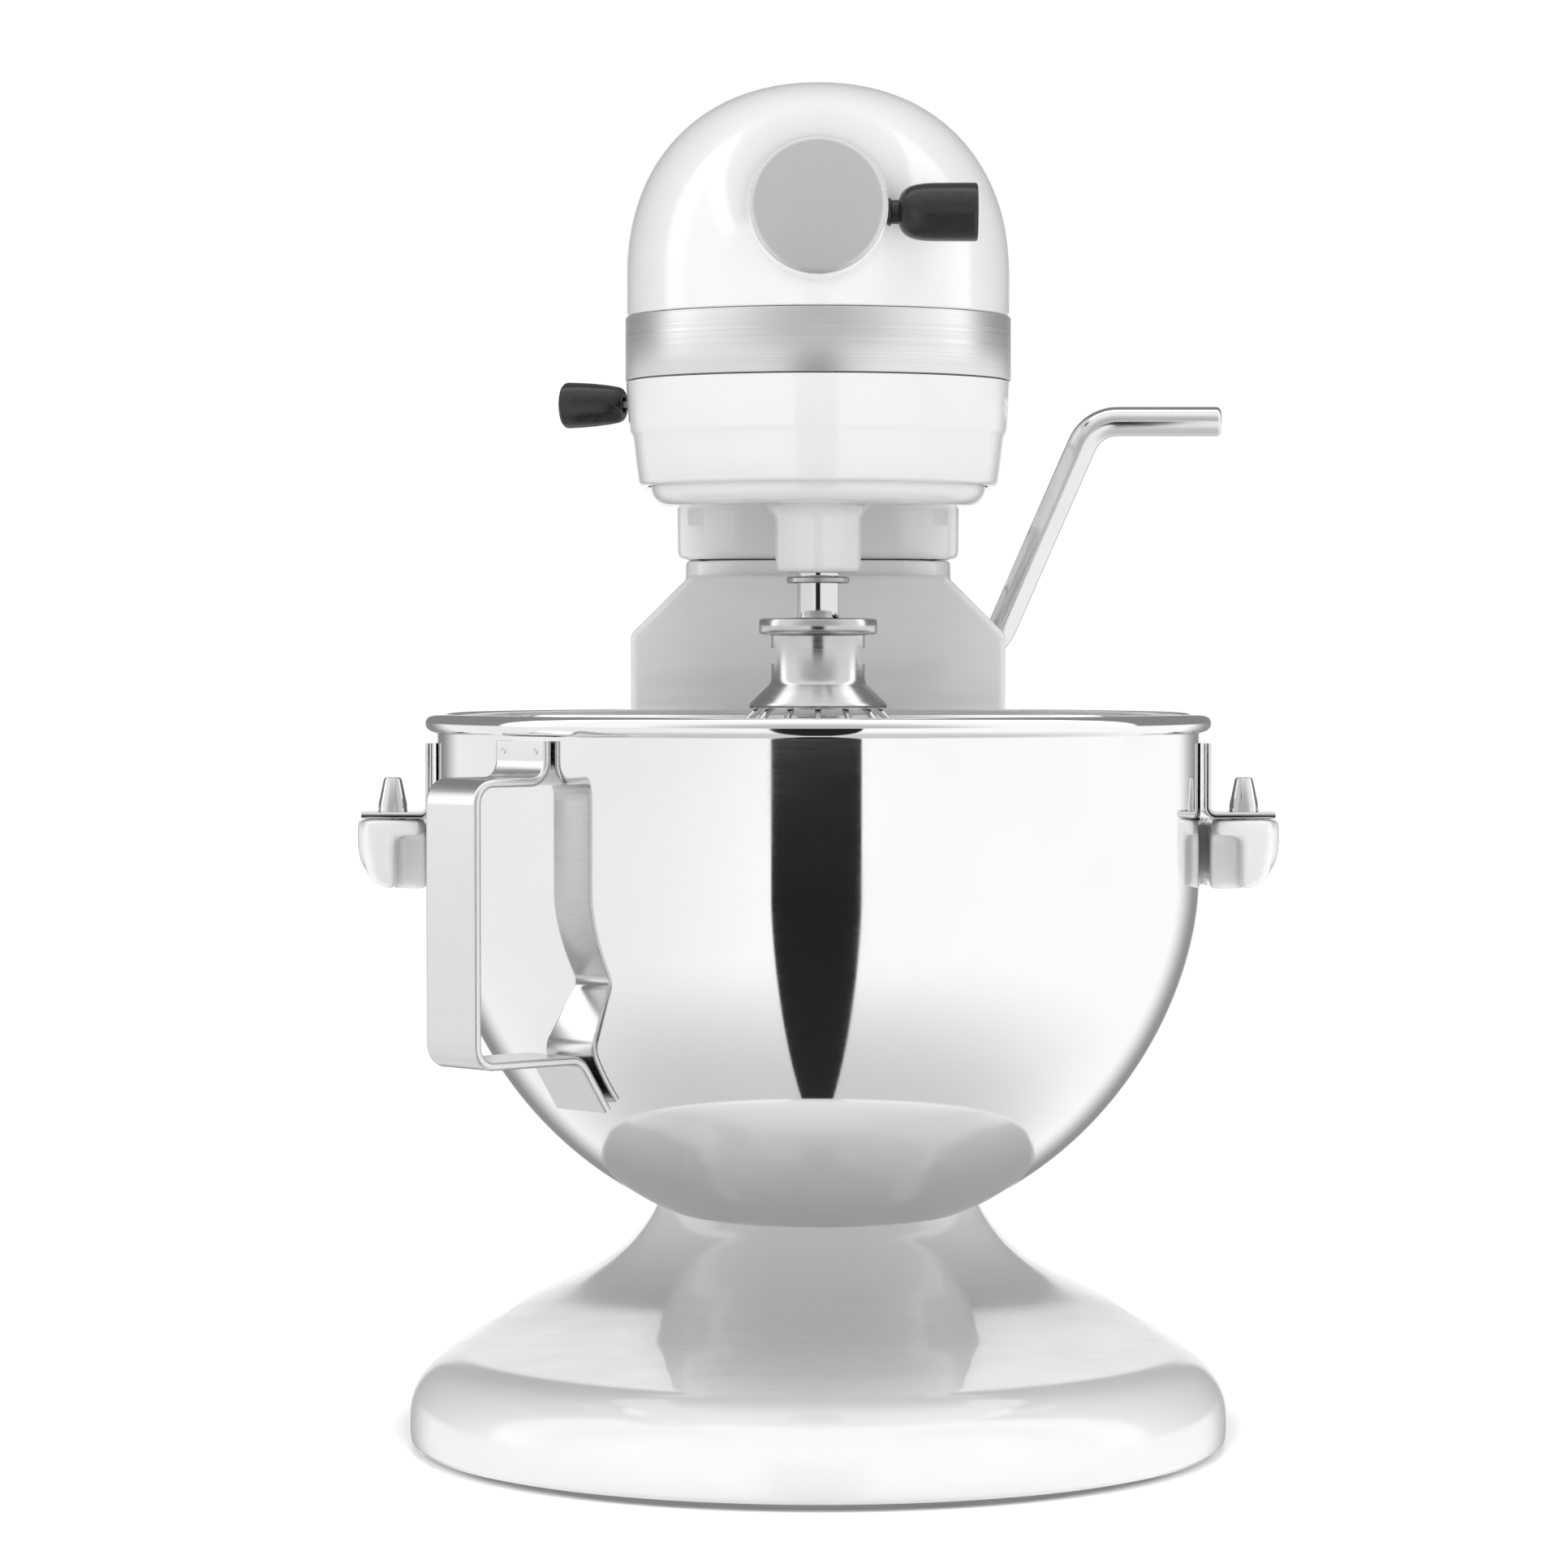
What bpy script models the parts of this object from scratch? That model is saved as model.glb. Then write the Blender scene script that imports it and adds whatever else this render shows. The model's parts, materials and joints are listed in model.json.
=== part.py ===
"""A stand mixer whose bowl lifts on a yoke, modelled in Blender as separate working pieces.

The mixer stands on z = 0, its front faces -Y and its right side is +X. All sizes and places
below are in millimetres, and the helpers turn them into metres as each piece is made.
"""

import math

import bmesh
import bpy
from mathutils import Matrix, Vector

MM = 0.001
TURN = 2 * math.pi
GAP = 0.3  # clearance between pieces that touch

# Axes of the turning pieces
BOWL_Y = -45.0  # the bowl, the planetary and the front of the head share this axis
ORBIT = 24.0  # from the bowl axis to the agitator shaft
CLUSTER_X = 26.1  # the upright shaft that carries the worm wheel
MOTOR_Z = 366.0
HUB_Z = 379.0  # the attachment hub, and the apex of the bevel pair
LEVER_PIVOT = (-6.0, -4.0, 326.6)
LEVER_REST = math.radians(14.5)  # the speed lever's angle behind the -X direction
HANDLE_Y = 108.0
HANDLE_Z = 245.5
KNOB_AT = (0.0, -111.0, 378.0)
CORD_AT = (-22.0, 0.0, 262.0)
BRUSH_AT = (0.0, 90.0, MOTOR_Z)  # the level axis through both motor brushes

# Outer shapes
HEAD_HALF = 59.6
HEAD_REAR = 118.0
HEAD_MID_Z = 362.9  # height where the head is widest
HEAD_RISE = 60.6
BAND_LOW = 331.0
BAND_HIGH = 350.8
BOWL_R = 118.7
BOWL_TURN_Z = 175.72  # below this height the bowl wall turns in
BOWL_DEPTH = 110.31
BOWL_SHEET = 1.2
BOWL_FLOOR = 71.5
RIM_Z = 225.5
YOKE_FRONT = 83.0
YOKE_REAR = 92.7
ARM_INNER = 121.6
ARM_OUTER = 143.0
ARM_LOW = 173.5
ARM_HIGH = 195.5
PAD_INNER = 130.6  # inner face of the rib under each arm's end pad
PAD_UNDER = 190.4  # underside of the end pad
PIN_X = 132.4
GRIP_R = 5.0  # radius of the lift lever's bar
FOOT_PLACES = {"foot_front_left": (-86, -108), "foot_front_right": (86, -108),
               "foot_rear_left": (-58, 118), "foot_rear_right": (58, 118)}

# Gears: tooth counts and pitch radii
RING_TEETH, RING_R = 36, 36.0
AGITATOR_TEETH, AGITATOR_R = 12, 12.0
CENTRE_TEETH, CENTRE_R = 38, 38.0
PINION_TEETH, PINION_R = 14, 14.0
WHEEL_TEETH = 24
WORM_PITCH = 5.0
WORM_R = 7.0
WHEEL_R = WHEEL_TEETH * WORM_PITCH / TURN
BEVEL_TEETH, HUB_BEVEL_TEETH = 24, 12
BEVEL_R, HUB_BEVEL_R = 20.0, 10.0
ADDENDUM, DEDENDUM = 1.5, 1.9

# Finishes: colour, roughness, metallic
ENAMEL = ((0.86, 0.86, 0.84), 0.18, 0.0)
POLISHED = ((0.78, 0.78, 0.77), 0.08, 1.0)
BRUSHED = ((0.62, 0.62, 0.61), 0.32, 1.0)
CAST = ((0.70, 0.70, 0.70), 0.40, 1.0)
STEEL = ((0.50, 0.50, 0.51), 0.35, 1.0)
BRASS = ((0.72, 0.55, 0.28), 0.35, 1.0)
COPPER = ((0.72, 0.40, 0.26), 0.35, 1.0)
BLACK = ((0.02, 0.02, 0.02), 0.30, 0.0)
RUBBER = ((0.05, 0.05, 0.05), 0.80, 0.0)

# Local axes as world columns, named after the plane that an outline lies in
PLANES = {
    "XY": Matrix(((1, 0, 0), (0, 1, 0), (0, 0, 1))),
    "YZ": Matrix(((0, 0, 1), (1, 0, 0), (0, 1, 0))),
    "XZ": Matrix(((1, 0, 0), (0, 0, -1), (0, 1, 0))),
    "ZX": Matrix(((0, 1, 0), (0, 0, 1), (1, 0, 0))),
}


# ---------------------------------------------------------------- helpers

def start_scene():
    """Empty the scene and make the collections for the pieces and for the cutters."""
    for obj in list(bpy.data.objects):
        bpy.data.objects.remove(obj)
    pieces = bpy.data.collections.new("stand_mixer")
    cutters = bpy.data.collections.new("cutters")
    bpy.context.scene.collection.children.link(pieces)
    bpy.context.scene.collection.children.link(cutters)
    return pieces, cutters


PIECES, CUTTERS = start_scene()


def add(name, data, finish, frame):
    """Link a new piece, or a cutter where there is no finish, with its own material."""
    obj = bpy.data.objects.new(name, data)
    obj.matrix_world = frame
    if finish is None:
        CUTTERS.objects.link(obj)
        obj.hide_render = True
        obj.display_type = "WIRE"
        return obj
    PIECES.objects.link(obj)
    colour, roughness, metallic = finish
    paint = bpy.data.materials.new(name + "_finish")
    paint.use_nodes = True
    shader = paint.node_tree.nodes["Principled BSDF"]
    shader.inputs["Base Color"].default_value = (*colour, 1)
    shader.inputs["Roughness"].default_value = roughness
    shader.inputs["Metallic"].default_value = metallic
    data.materials.append(paint)
    return obj


def frame_at(origin, plane):
    """The matrix that puts a local outline in a world plane at an origin."""
    return Matrix.Translation(Vector(origin) * MM) @ PLANES[plane].to_4x4()


def turned(name, profile, finish, origin=(0, 0, 0), plane="XY", steps=32, ring=False):
    """Turn (radius, height) pairs about the plane's normal; ring closes the profile."""
    mesh = bpy.data.meshes.new(name)
    edges = [(i, i + 1) for i in range(len(profile) - 1)]
    if ring:
        edges.append((len(profile) - 1, 0))
    mesh.from_pydata([(r * MM, 0, h * MM) for r, h in profile], edges, [])
    obj = add(name, mesh, finish, frame_at(origin, plane))
    screw = obj.modifiers.new("turn", "SCREW")
    screw.steps = steps
    screw.render_steps = steps
    screw.use_merge_vertices = True
    screw.merge_threshold = 0.00001
    return obj


def flat(name, outlines, low, high, finish, origin=(0, 0, 0), plane="XY"):
    """A slab between two heights on the plane's normal; outlines after the first are holes."""
    curve = bpy.data.curves.new(name, "CURVE")
    curve.dimensions = "2D"
    curve.fill_mode = "BOTH"
    curve.extrude = (high - low) / 2 * MM
    for outline in outlines:
        spline = curve.splines.new("POLY")
        spline.points.add(len(outline) - 1)
        for point, (u, v) in zip(spline.points, outline):
            point.co = (u * MM, v * MM, 0, 1)
        spline.use_cyclic_u = True
    lift = Matrix.Translation((0, 0, (high + low) / 2 * MM))
    return add(name, curve, finish, frame_at(origin, plane) @ lift)


def rod(name, points, radius, finish, origin=(0, 0, 0), sides=2):
    """A round wire or bar through world points."""
    curve = bpy.data.curves.new(name, "CURVE")
    curve.dimensions = "3D"
    curve.bevel_depth = radius * MM
    curve.bevel_resolution = sides
    curve.use_fill_caps = True
    spline = curve.splines.new("POLY")
    spline.points.add(len(points) - 1)
    for point, place in zip(spline.points, points):
        point.co = (*((Vector(place) - Vector(origin)) * MM), 1)
    return add(name, curve, finish, Matrix.Translation(Vector(origin) * MM))


def loft(name, rings, finish, origin=(0, 0, 0), loop=False):
    """Skin world rings of equal count, with flat ends or joined last to first."""
    bm = bmesh.new()
    rows = [[bm.verts.new((Vector(p) - Vector(origin)) * MM) for p in ring] for ring in rings]
    joins = list(zip(rows, rows[1:]))
    if loop:
        joins.append((rows[-1], rows[0]))
    else:
        bm.faces.new(rows[0])
        bm.faces.new(rows[-1])
    for low, high in joins:
        for i in range(len(low)):
            j = (i + 1) % len(low)
            bm.faces.new((low[i], low[j], high[j], high[i]))
    bmesh.ops.recalc_face_normals(bm, faces=bm.faces)
    mesh = bpy.data.meshes.new(name)
    bm.to_mesh(mesh)
    bm.free()
    return add(name, mesh, finish, Matrix.Translation(Vector(origin) * MM))


def block(name, low, high, finish):
    """A box between two corners."""
    bm = bmesh.new()
    bmesh.ops.create_cube(bm, size=MM)
    size = [b - a for a, b in zip(low, high)]
    bmesh.ops.scale(bm, vec=size, verts=bm.verts)
    mesh = bpy.data.meshes.new(name)
    bm.to_mesh(mesh)
    bm.free()
    middle = [(a + b) / 2 * MM for a, b in zip(low, high)]
    return add(name, mesh, finish, Matrix.Translation(middle))


def drill(name, radius, low, high, origin=(0, 0, 0), plane="XY", steps=16):
    """A round cutter between two heights on the plane's normal."""
    profile = [(0, high), (radius, high), (radius, low), (0, low)]
    return turned(name, profile, None, origin, plane, steps)


def as_mesh(obj):
    """Replace a curve object by its welded mesh, so that it can be cut or joined."""
    bpy.context.view_layer.update()
    graph = bpy.context.evaluated_depsgraph_get()
    mesh = bpy.data.meshes.new_from_object(obj.evaluated_get(graph))
    bm = bmesh.new()
    bm.from_mesh(mesh)
    bmesh.ops.remove_doubles(bm, verts=bm.verts, dist=0.00001)
    bmesh.ops.recalc_face_normals(bm, faces=bm.faces)
    bm.to_mesh(mesh)
    bm.free()
    name, home, place = obj.name, obj.users_collection[0], obj.matrix_world.copy()
    bpy.data.objects.remove(obj)
    solid = bpy.data.objects.new(name, mesh)
    solid.matrix_world = place
    home.objects.link(solid)
    solid.hide_render = home is CUTTERS
    solid.display_type = "WIRE" if home is CUTTERS else "TEXTURED"
    return solid


def combine(obj, other, operation="DIFFERENCE"):
    """Cut or join one solid with another through a Boolean modifier."""
    boolean = obj.modifiers.new(other.name, "BOOLEAN")
    boolean.operation = operation
    boolean.object = other
    boolean.solver = "EXACT"


def spun(obj, centre, angle):
    """Turn an object by an angle about the upright axis through a place."""
    place = Matrix.Translation(Vector(centre) * MM)
    turn = Matrix.Rotation(angle, 4, "Z")
    obj.matrix_world = place @ turn @ place.inverted() @ obj.matrix_world
    return obj


def rounded(points, radius, steps=4):
    """An open 2D path with its inner corners rounded to a radius."""
    path = [Vector(points[0])]
    for before, corner, after in zip(points, points[1:], points[2:]):
        corner = Vector(corner)
        back = (Vector(before) - corner).normalized()
        ahead = (Vector(after) - corner).normalized()
        half = back.angle(ahead) / 2
        reach = radius / math.tan(half)
        centre = corner + (back + ahead).normalized() * radius / math.sin(half)
        start = corner + back * reach - centre
        end = corner + ahead * reach - centre
        sweep = start.angle_signed(end)
        for i in range(steps + 1):
            angle = -sweep * i / steps
            path.append(centre + Matrix.Rotation(angle, 2) @ start)
    path.append(Vector(points[-1]))
    return path


def strip(path, thickness):
    """The outline of a bent strip of even thickness along an open 2D path."""
    sides = ([], [])
    for i, point in enumerate(path):
        before = path[max(i - 1, 0)]
        after = path[min(i + 1, len(path) - 1)]
        along = (Vector(after) - Vector(before)).normalized()
        across = Vector((-along.y, along.x)) * thickness / 2
        sides[0].append(Vector(point) + across)
        sides[1].append(Vector(point) - across)
    return sides[0] + sides[1][::-1]


def circle(radius, steps=24, centre=(0, 0)):
    """Points round a circle."""
    return [(centre[0] + radius * math.cos(TURN * i / steps),
             centre[1] + radius * math.sin(TURN * i / steps)) for i in range(steps)]


def superellipse(z, half, front, middle, rear, front_power, rear_power, taper=0, steps=28):
    """A level ring of two superellipses that meet at y = middle, tapered towards its rear."""
    ring = []
    for i in range(steps):
        c = math.cos(TURN * i / steps)
        s = math.sin(TURN * i / steps)
        power = rear_power if s > 0 else front_power
        reach = rear - middle if s > 0 else middle - front
        share = math.copysign(abs(s) ** (2 / power), s)
        x = half * math.copysign(abs(c) ** (2 / power), c) * (1 - taper * max(share, 0))
        ring.append((x, middle + reach * share, z))
    return ring


def stadium(z, half, rear, steps=14):
    """A level ring with a half-round front about the bowl axis and a square rear."""
    angles = [math.pi * (1 + i / steps) for i in range(steps + 1)]
    ring = [(half * math.cos(a), BOWL_Y + half * math.sin(a), z) for a in angles]
    return ring + [(half, rear, z), (-half, rear, z)]


def head_half(z, shrink=0.0):
    """The head's half-width at a height above its widest level."""
    share = min(max((z - HEAD_MID_Z) / (HEAD_RISE - shrink), 0), 0.9999)
    return (HEAD_HALF - shrink) * (1 - share ** 2.2) ** (1 / 2.2)


# ---------------------------------------------------------------- stand

# Height, half-width, front, widest place and rear of each level of the base and column, then
# how square its front and rear are and how much it narrows towards the rear
BASE_SHAPE = (2.0, 2.6, 0.165)
PEDESTAL_RINGS = (
    (2.0, 125.6, -171.3, -45, 171.3, *BASE_SHAPE),
    (4.0, 127.1, -172.8, -45, 172.8, *BASE_SHAPE),
    (14.0, 127.0, -172.8, -45, 172.8, *BASE_SHAPE),
    (19.0, 125.5, -171.6, -45, 172.2, *BASE_SHAPE),
    (23.5, 122.6, -168.0, -45, 171.6, *BASE_SHAPE),
    (27.0, 118.6, -162.0, -45, 171.0, 2.0, 2.6, 0.142),
    (29.3, 113.4, -152.0, -42, 170.5, 2.0, 2.6, 0.124),
    (30.4, 109.0, -128.0, -25, 170.2, 2.1, 2.6, 0.115),
    (31.2, 104.2, -80.0, 5, 170.0, 2.2, 2.6, 0.109),
    (32.2, 98.6, -25.0, 40, 169.9, 2.3, 2.6, 0.101),
    (34.5, 88.9, 15.0, 64, 169.8, 2.4, 2.65, 0.083),
    (38.0, 77.6, 42.0, 85, 169.5, 2.6, 2.8, 0.055),
    (43.0, 68.3, 60.0, 100, 169.2, 2.8, 3.1, 0.016),
    (49.0, 61.4, 73.0, 112, 169.0, 3.2, 3.5, 0.0),
    (58.0, 55.4, 83.5, 122, 168.6, 3.6, 3.8, 0.0),
    (68.0, 52.4, 89.0, 128, 168.3, 4.0, 4.0, 0.0),
    (80.0, 51.2, 92.0, 130, 168.0, 4.0, 4.0, 0.0),
    (100.0, 50.2, 93.0, 130, 167.5, 4.0, 4.0, 0.0),
    (278.2, 45.7, 93.0, 130, 166.0, 4.0, 4.0, 0.0),
)
WALL = 4.0
SLOT_HALF = 8.6  # the slot in the column that the yoke's boss slides in
SLOT_Z = (217.5, 273.0)


def pedestal():
    """The cast base and column: a hollow shell, open underneath."""
    shell = loft("pedestal", [superellipse(*ring) for ring in PEDESTAL_RINGS], ENAMEL)
    inside = [(-1.0, 122.8, -168.0, -45, 168.0, *BASE_SHAPE)]
    for z, half, front, middle, rear, *shape in PEDESTAL_RINGS[2:]:
        inside.append((z - WALL, half - WALL, front + WALL, middle, rear - WALL, *shape))
    combine(shell, loft("pedestal_inside", [superellipse(*ring) for ring in inside], None))
    slot = block("column_slot", (-SLOT_HALF, 88, SLOT_Z[0]), (SLOT_HALF, 104, SLOT_Z[1]), None)
    combine(shell, slot)
    pivot = (0, HANDLE_Y, HANDLE_Z)
    combine(shell, drill("handle_hole", 7.0, 30, 60, pivot, "YZ"))
    combine(shell, drill("handle_seat", 9.6, 44.4, 60, pivot, "YZ"))
    combine(shell, drill("gland_hole", 5.3, 155, 175, CORD_AT, "ZX"))


def base_plate():
    """The steel plate that closes the base, with a hole for each foot's stem."""
    outline = [p[:2] for p in superellipse(0, 122.0, -167.3, -45, 167.0, *BASE_SHAPE)]
    holes = [circle(4.4, 12, place) for place in FOOT_PLACES.values()]
    flat("base_plate", [outline] + holes, 3.0, 4.6, STEEL)


def feet():
    """Four rubber feet, each held in the base plate by a stem with a wider head."""
    profile = [(0, 7.6), (5.2, 7.0), (5.2, 4.9), (4.0, 4.9), (4.0, 2.7),
               (12.0, 2.7), (12.0, 0.8), (11.2, 0), (0, 0)]
    for name, (x, y) in FOOT_PLACES.items():
        turned(name, profile, RUBBER, (x, y, 0), steps=14)


def cord_gland():
    """The strain-relief bush in the back of the column."""
    profile = [(5.0, 160.0), (5.0, 166.9), (8.5, 166.9), (8.0, 170.2), (3.6, 171.0),
               (3.6, 160.0)]
    turned("cord_gland", profile[::-1], RUBBER, CORD_AT, "ZX", 16, ring=True)


# ---------------------------------------------------------------- bowl lift

def yoke_outline():
    """The two arms seen from above: a ring sector about the bowl, open at the front."""
    def arc(radius, start, end, steps):
        angles = [math.radians(start + (end - start) * i / steps) for i in range(steps + 1)]
        return [(radius * math.cos(a), BOWL_Y + radius * math.sin(a)) for a in angles]

    right = arc(ARM_OUTER - 3, -7, -7, 1)[:1] + arc(ARM_OUTER, -5.5, 74.4, 14)
    inner = [(48, 79)] + arc(ARM_INNER, 62, -5.5, 12) + arc(ARM_INNER + 3, -7, -7, 1)[:1]
    half = right + [(30, YOKE_REAR), (30, YOKE_FRONT)] + inner
    outer, inner = half[:len(right) + 1], half[len(right) + 1:]
    left_outer = [(-x, y) for x, y in outer[::-1]]
    left_inner = [(-x, y) for x, y in inner[::-1]]
    return outer + left_outer + left_inner + inner


def arm_edge(side):
    """The cutter that rounds off the lower outer edge of an arm, on a side of -1 or 1."""
    section = ((144.0, 188.0), (142.9, 186.0), (140.6, 178.6), (136.6, 174.6), (131.0, 172.4),
               (146.0, 172.4), (146.0, 188.0))
    rings = []
    for degrees in [-12] + [-5.5 + 79.9 * i / 14 for i in range(10)] + [49]:
        c, s = math.cos(math.radians(degrees)), math.sin(math.radians(degrees))
        rings.append([(side * r * c, BOWL_Y + r * s, z) for r, z in section])
    return loft(f"arm_edge_{side + 1}", rings, None)


def bowl_support_yoke():
    """The sliding bowl support: back plate, two arms and the boss that enters the column."""
    yoke = as_mesh(flat("bowl_support_yoke", [yoke_outline()], ARM_LOW, ARM_HIGH, ENAMEL))
    plate = [(-63, 165), (63, 165), (63, 253), (43, 273), (-43, 273), (-63, 253)]
    back = as_mesh(flat("yoke_plate", [plate], -YOKE_REAR, -YOKE_FRONT, None, plane="XZ"))
    combine(yoke, back, "UNION")
    combine(yoke, block("yoke_boss", (-8, 90, 255), (8, 97.5, 272), None), "UNION")
    for side in (-1, 1):
        combine(yoke, arm_edge(side))
        low, high = sorted((side * 118, side * PAD_INNER))
        recess = ((low, -66, ARM_LOW - 1), (high, -50.2, PAD_UNDER))
        combine(yoke, block(f"pad_recess_{side + 1}", *recess, None))
        place = (side * PIN_X, BOWL_Y, 0)
        combine(yoke, drill(f"pin_hole_{side + 1}", 4.2, 184, 200, place, steps=16))


def locating_pins():
    """Tapered pins on the arm ends that the bowl's brackets drop over."""
    profile = [(0, 208.2), (2.3, 208.2), (2.9, 207.4), (4.5, 199.5), (4.5, 195.8),
               (3.9, 195.8), (3.9, 184.4), (0, 184.4)]
    for name, side in (("locating_pin_left", -1), ("locating_pin_right", 1)):
        turned(name, profile, POLISHED, (side * PIN_X, BOWL_Y, 0), steps=16)


def bowl_latch_spring():
    """The bent leaf spring on the yoke that presses the bowl's rear pin."""
    path = [(YOKE_FRONT - 0.9, 197), (YOKE_FRONT - 0.9, 203), (YOKE_FRONT - 1.7, 210),
            (YOKE_FRONT - 0.9, 217), (YOKE_FRONT - 0.9, 221)]
    flat("bowl_latch_spring", [strip(rounded(path, 3), 0.9)], -9, 9, STEEL, plane="YZ")


def lift_bracket():
    """The slotted plate behind the yoke's boss, moved by the crank pin."""
    outline = [(97.8, 254), (138, 254), (138, 273.5), (97.8, 273.5)]
    slot = [(116.5, 258.4), (134, 258.4), (134, 268.6), (116.5, 268.6)]
    flat("lift_bracket", [outline, slot], -2, 2, STEEL, plane="YZ")


def lift_spring():
    """The compression spring that carries part of the bowl's weight."""
    turns, per_turn, radius, low, high = 7, 8, 5.0, 176.6, 252.9
    points = []
    for i in range(turns * per_turn + 1):
        angle = TURN * i / per_turn
        share = i / (turns * per_turn)
        points.append((radius * math.cos(angle), 103.9 + radius * math.sin(angle),
                       low + (high - low) * share))
    rod("lift_spring", points, 0.8, STEEL, sides=1)


def spring_bracket():
    """The angle plate on the column's inner wall under the spring."""
    path = rounded([(98.5, 150), (98.5, 174.5), (112, 174.5)], 2.4)
    flat("spring_bracket", [strip(path, 2)], -9, 9, STEEL, plane="YZ")


def lift_handle():
    """The chrome lever: a bar out of the column, up, and out again as a grip."""
    path = rounded([(7.5, HANDLE_Z), (58.3, HANDLE_Z), (93.3, 325.5), (137, 325.5)], 13, 6)
    points = [(p[0], HANDLE_Y, p[1]) for p in path]
    rod("lift_handle", points, GRIP_R, POLISHED, (7.5, HANDLE_Y, HANDLE_Z), sides=3)


def lift_crank():
    """The crank on the lever's inner end, with the pin that runs in the bracket's slot."""
    reach, lean = 22.0, math.radians(54.9)
    pin = (HANDLE_Y + reach * math.cos(lean), HANDLE_Z + reach * math.sin(lean))
    outline = []
    for centre, radius in (((HANDLE_Y, HANDLE_Z), 9.0), (pin, 6.0)):
        first = lean + (math.pi / 2 if radius > 7 else -math.pi / 2)
        for i in range(9):
            angle = first + math.pi * i / 8
            outline.append((centre[0] + radius * math.cos(angle),
                            centre[1] + radius * math.sin(angle)))
    bore = circle(GRIP_R + 0.4, 20, (HANDLE_Y, HANDLE_Z))
    outline = [(u - HANDLE_Y, v - HANDLE_Z) for u, v in outline]
    bore = [(u - HANDLE_Y, v - HANDLE_Z) for u, v in bore]
    crank = as_mesh(flat("lift_crank", [outline, bore], 9, 14, STEEL,
                         (0, HANDLE_Y, HANDLE_Z), "YZ"))
    profile = [(0, 11), (3, 11), (3, -5), (0, -5)]
    combine(crank, turned("crank_pin", profile, None, (0, *pin), "YZ", 14), "UNION")


def handle_bushing():
    """The flanged bush that the lever turns in."""
    bore = GRIP_R + 0.4
    profile = [(bore, 49.0), (9.2, 49.0), (9.2, 44.8), (6.7, 44.8), (6.7, 40.5), (bore, 40.5)]
    turned("handle_bushing", profile, BLACK, (0, HANDLE_Y, HANDLE_Z), "YZ", 20, ring=True)


# ---------------------------------------------------------------- bowl

def bowl_radius(z):
    """The bowl's outer radius at a height below its rim."""
    share = min(max((BOWL_TURN_Z - z) / BOWL_DEPTH, 0), 1)
    return BOWL_R * (1 - share ** 1.766) ** (1 / 2.139)


def bowl():
    """The spun bowl: a thin turned wall with a rolled rim and a flat floor."""
    heights = [BOWL_FLOOR + (BOWL_TURN_Z - BOWL_FLOOR) * math.sin(math.pi / 2 * i / 9) ** 1.7
               for i in range(10)]
    wall = [(bowl_radius(z), z) for z in heights]
    wall[0] = (38.5, BOWL_FLOOR)
    inner = [(0, BOWL_FLOOR + BOWL_SHEET), (38.0, BOWL_FLOOR + BOWL_SHEET)]
    for (r, z), (before, after) in zip(wall[1:], zip(wall, wall[2:] + [(BOWL_R, 200)])):
        slope = (Vector(after) - Vector(before)).normalized()
        inner.append((r - slope.y * BOWL_SHEET, z + slope.x * BOWL_SHEET))
    rim = [(BOWL_R + 0.8 + 3 * math.cos(a), RIM_Z + 3 * math.sin(a))
           for a in (math.radians(d) for d in (180, 115, 55, -10, -75))]
    outer = [(BOWL_R, 221.0)] + wall[::-1] + [(0, BOWL_FLOOR)]
    profile = inner + [(BOWL_R - BOWL_SHEET, 221.0)] + rim + outer
    turned("bowl", profile, POLISHED, (0, BOWL_Y, 0), steps=40)


HANDLE_TURN = math.radians(47)  # the bowl handle's place, from the front towards -X


def bowl_handle():
    """The bent strap handle, in an upright plane through the bowl's axis."""
    tab = 1.8
    low = bowl_radius(126) + tab
    path = [(BOWL_R + tab, 221), (BOWL_R + tab, 209), (147.3, 209), (147.3, 126.5),
            (low + 1.5, 126.5), (bowl_radius(111) + tab + 0.9, 111)]
    outline = strip(rounded(path, 6.0, 5), 2.6)
    strap = flat("bowl_handle", [outline], -11.5, 11.5, POLISHED, plane="XZ")
    turn = Matrix.Rotation(-math.pi / 2 - HANDLE_TURN, 4, "Z")
    strap.matrix_world = Matrix.Translation((0, BOWL_Y * MM, 0)) @ turn @ strap.matrix_world


def bowl_brackets():
    """Angle brackets on the bowl's sides, with a hole that drops over each pin."""
    for name, side in (("bowl_bracket_left", -1), ("bowl_bracket_right", 1)):
        path = rounded([(side * 120.2, 219), (side * 120.2, 196.8), (side * 141, 196.8)], 2.5, 3)
        bracket = as_mesh(flat(name, [strip(path, 2)], -15 - BOWL_Y, 15 - BOWL_Y, POLISHED,
                               plane="XZ"))
        combine(bracket, drill(name + "_hole", 5.0, 190, 205, (side * PIN_X, BOWL_Y, 0)))


def bowl_rear_clip():
    """The rear tab with the pin that the latch spring holds."""
    rear = BOWL_Y + BOWL_R
    tab = block("bowl_rear_clip", (-10, rear + 0.4, 198), (10, rear + 1.9, 214), POLISHED)
    profile = [(0, rear + 1), (3, rear + 1), (3, rear + 6.6), (0, rear + 6.6)]
    combine(tab, turned("clip_pin", profile[::-1], None, (0, 0, 206), "ZX", 14), "UNION")


# ---------------------------------------------------------------- whip

WIRES = 7
WIRE_R = 1.0
WHIP_TURN = math.pi / WIRES / 2  # turns the whip so that one wire leg faces the front
WHIP_LOW = 87.5
WHIP_STEP = 2.3  # each loop hangs this much higher than the one before


def whip_y():
    """The y of the agitator shaft and the whip on it."""
    return BOWL_Y - ORBIT


def bezier(points, steps):
    """Points along a cubic curve, without its last one."""
    a, b, c, d = (Vector(p) for p in points)
    shares = [i / steps for i in range(steps)]
    return [a * (1 - t) ** 3 + b * 3 * t * (1 - t) ** 2 + c * 3 * t * t * (1 - t) + d * t ** 3
            for t in shares]


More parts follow.
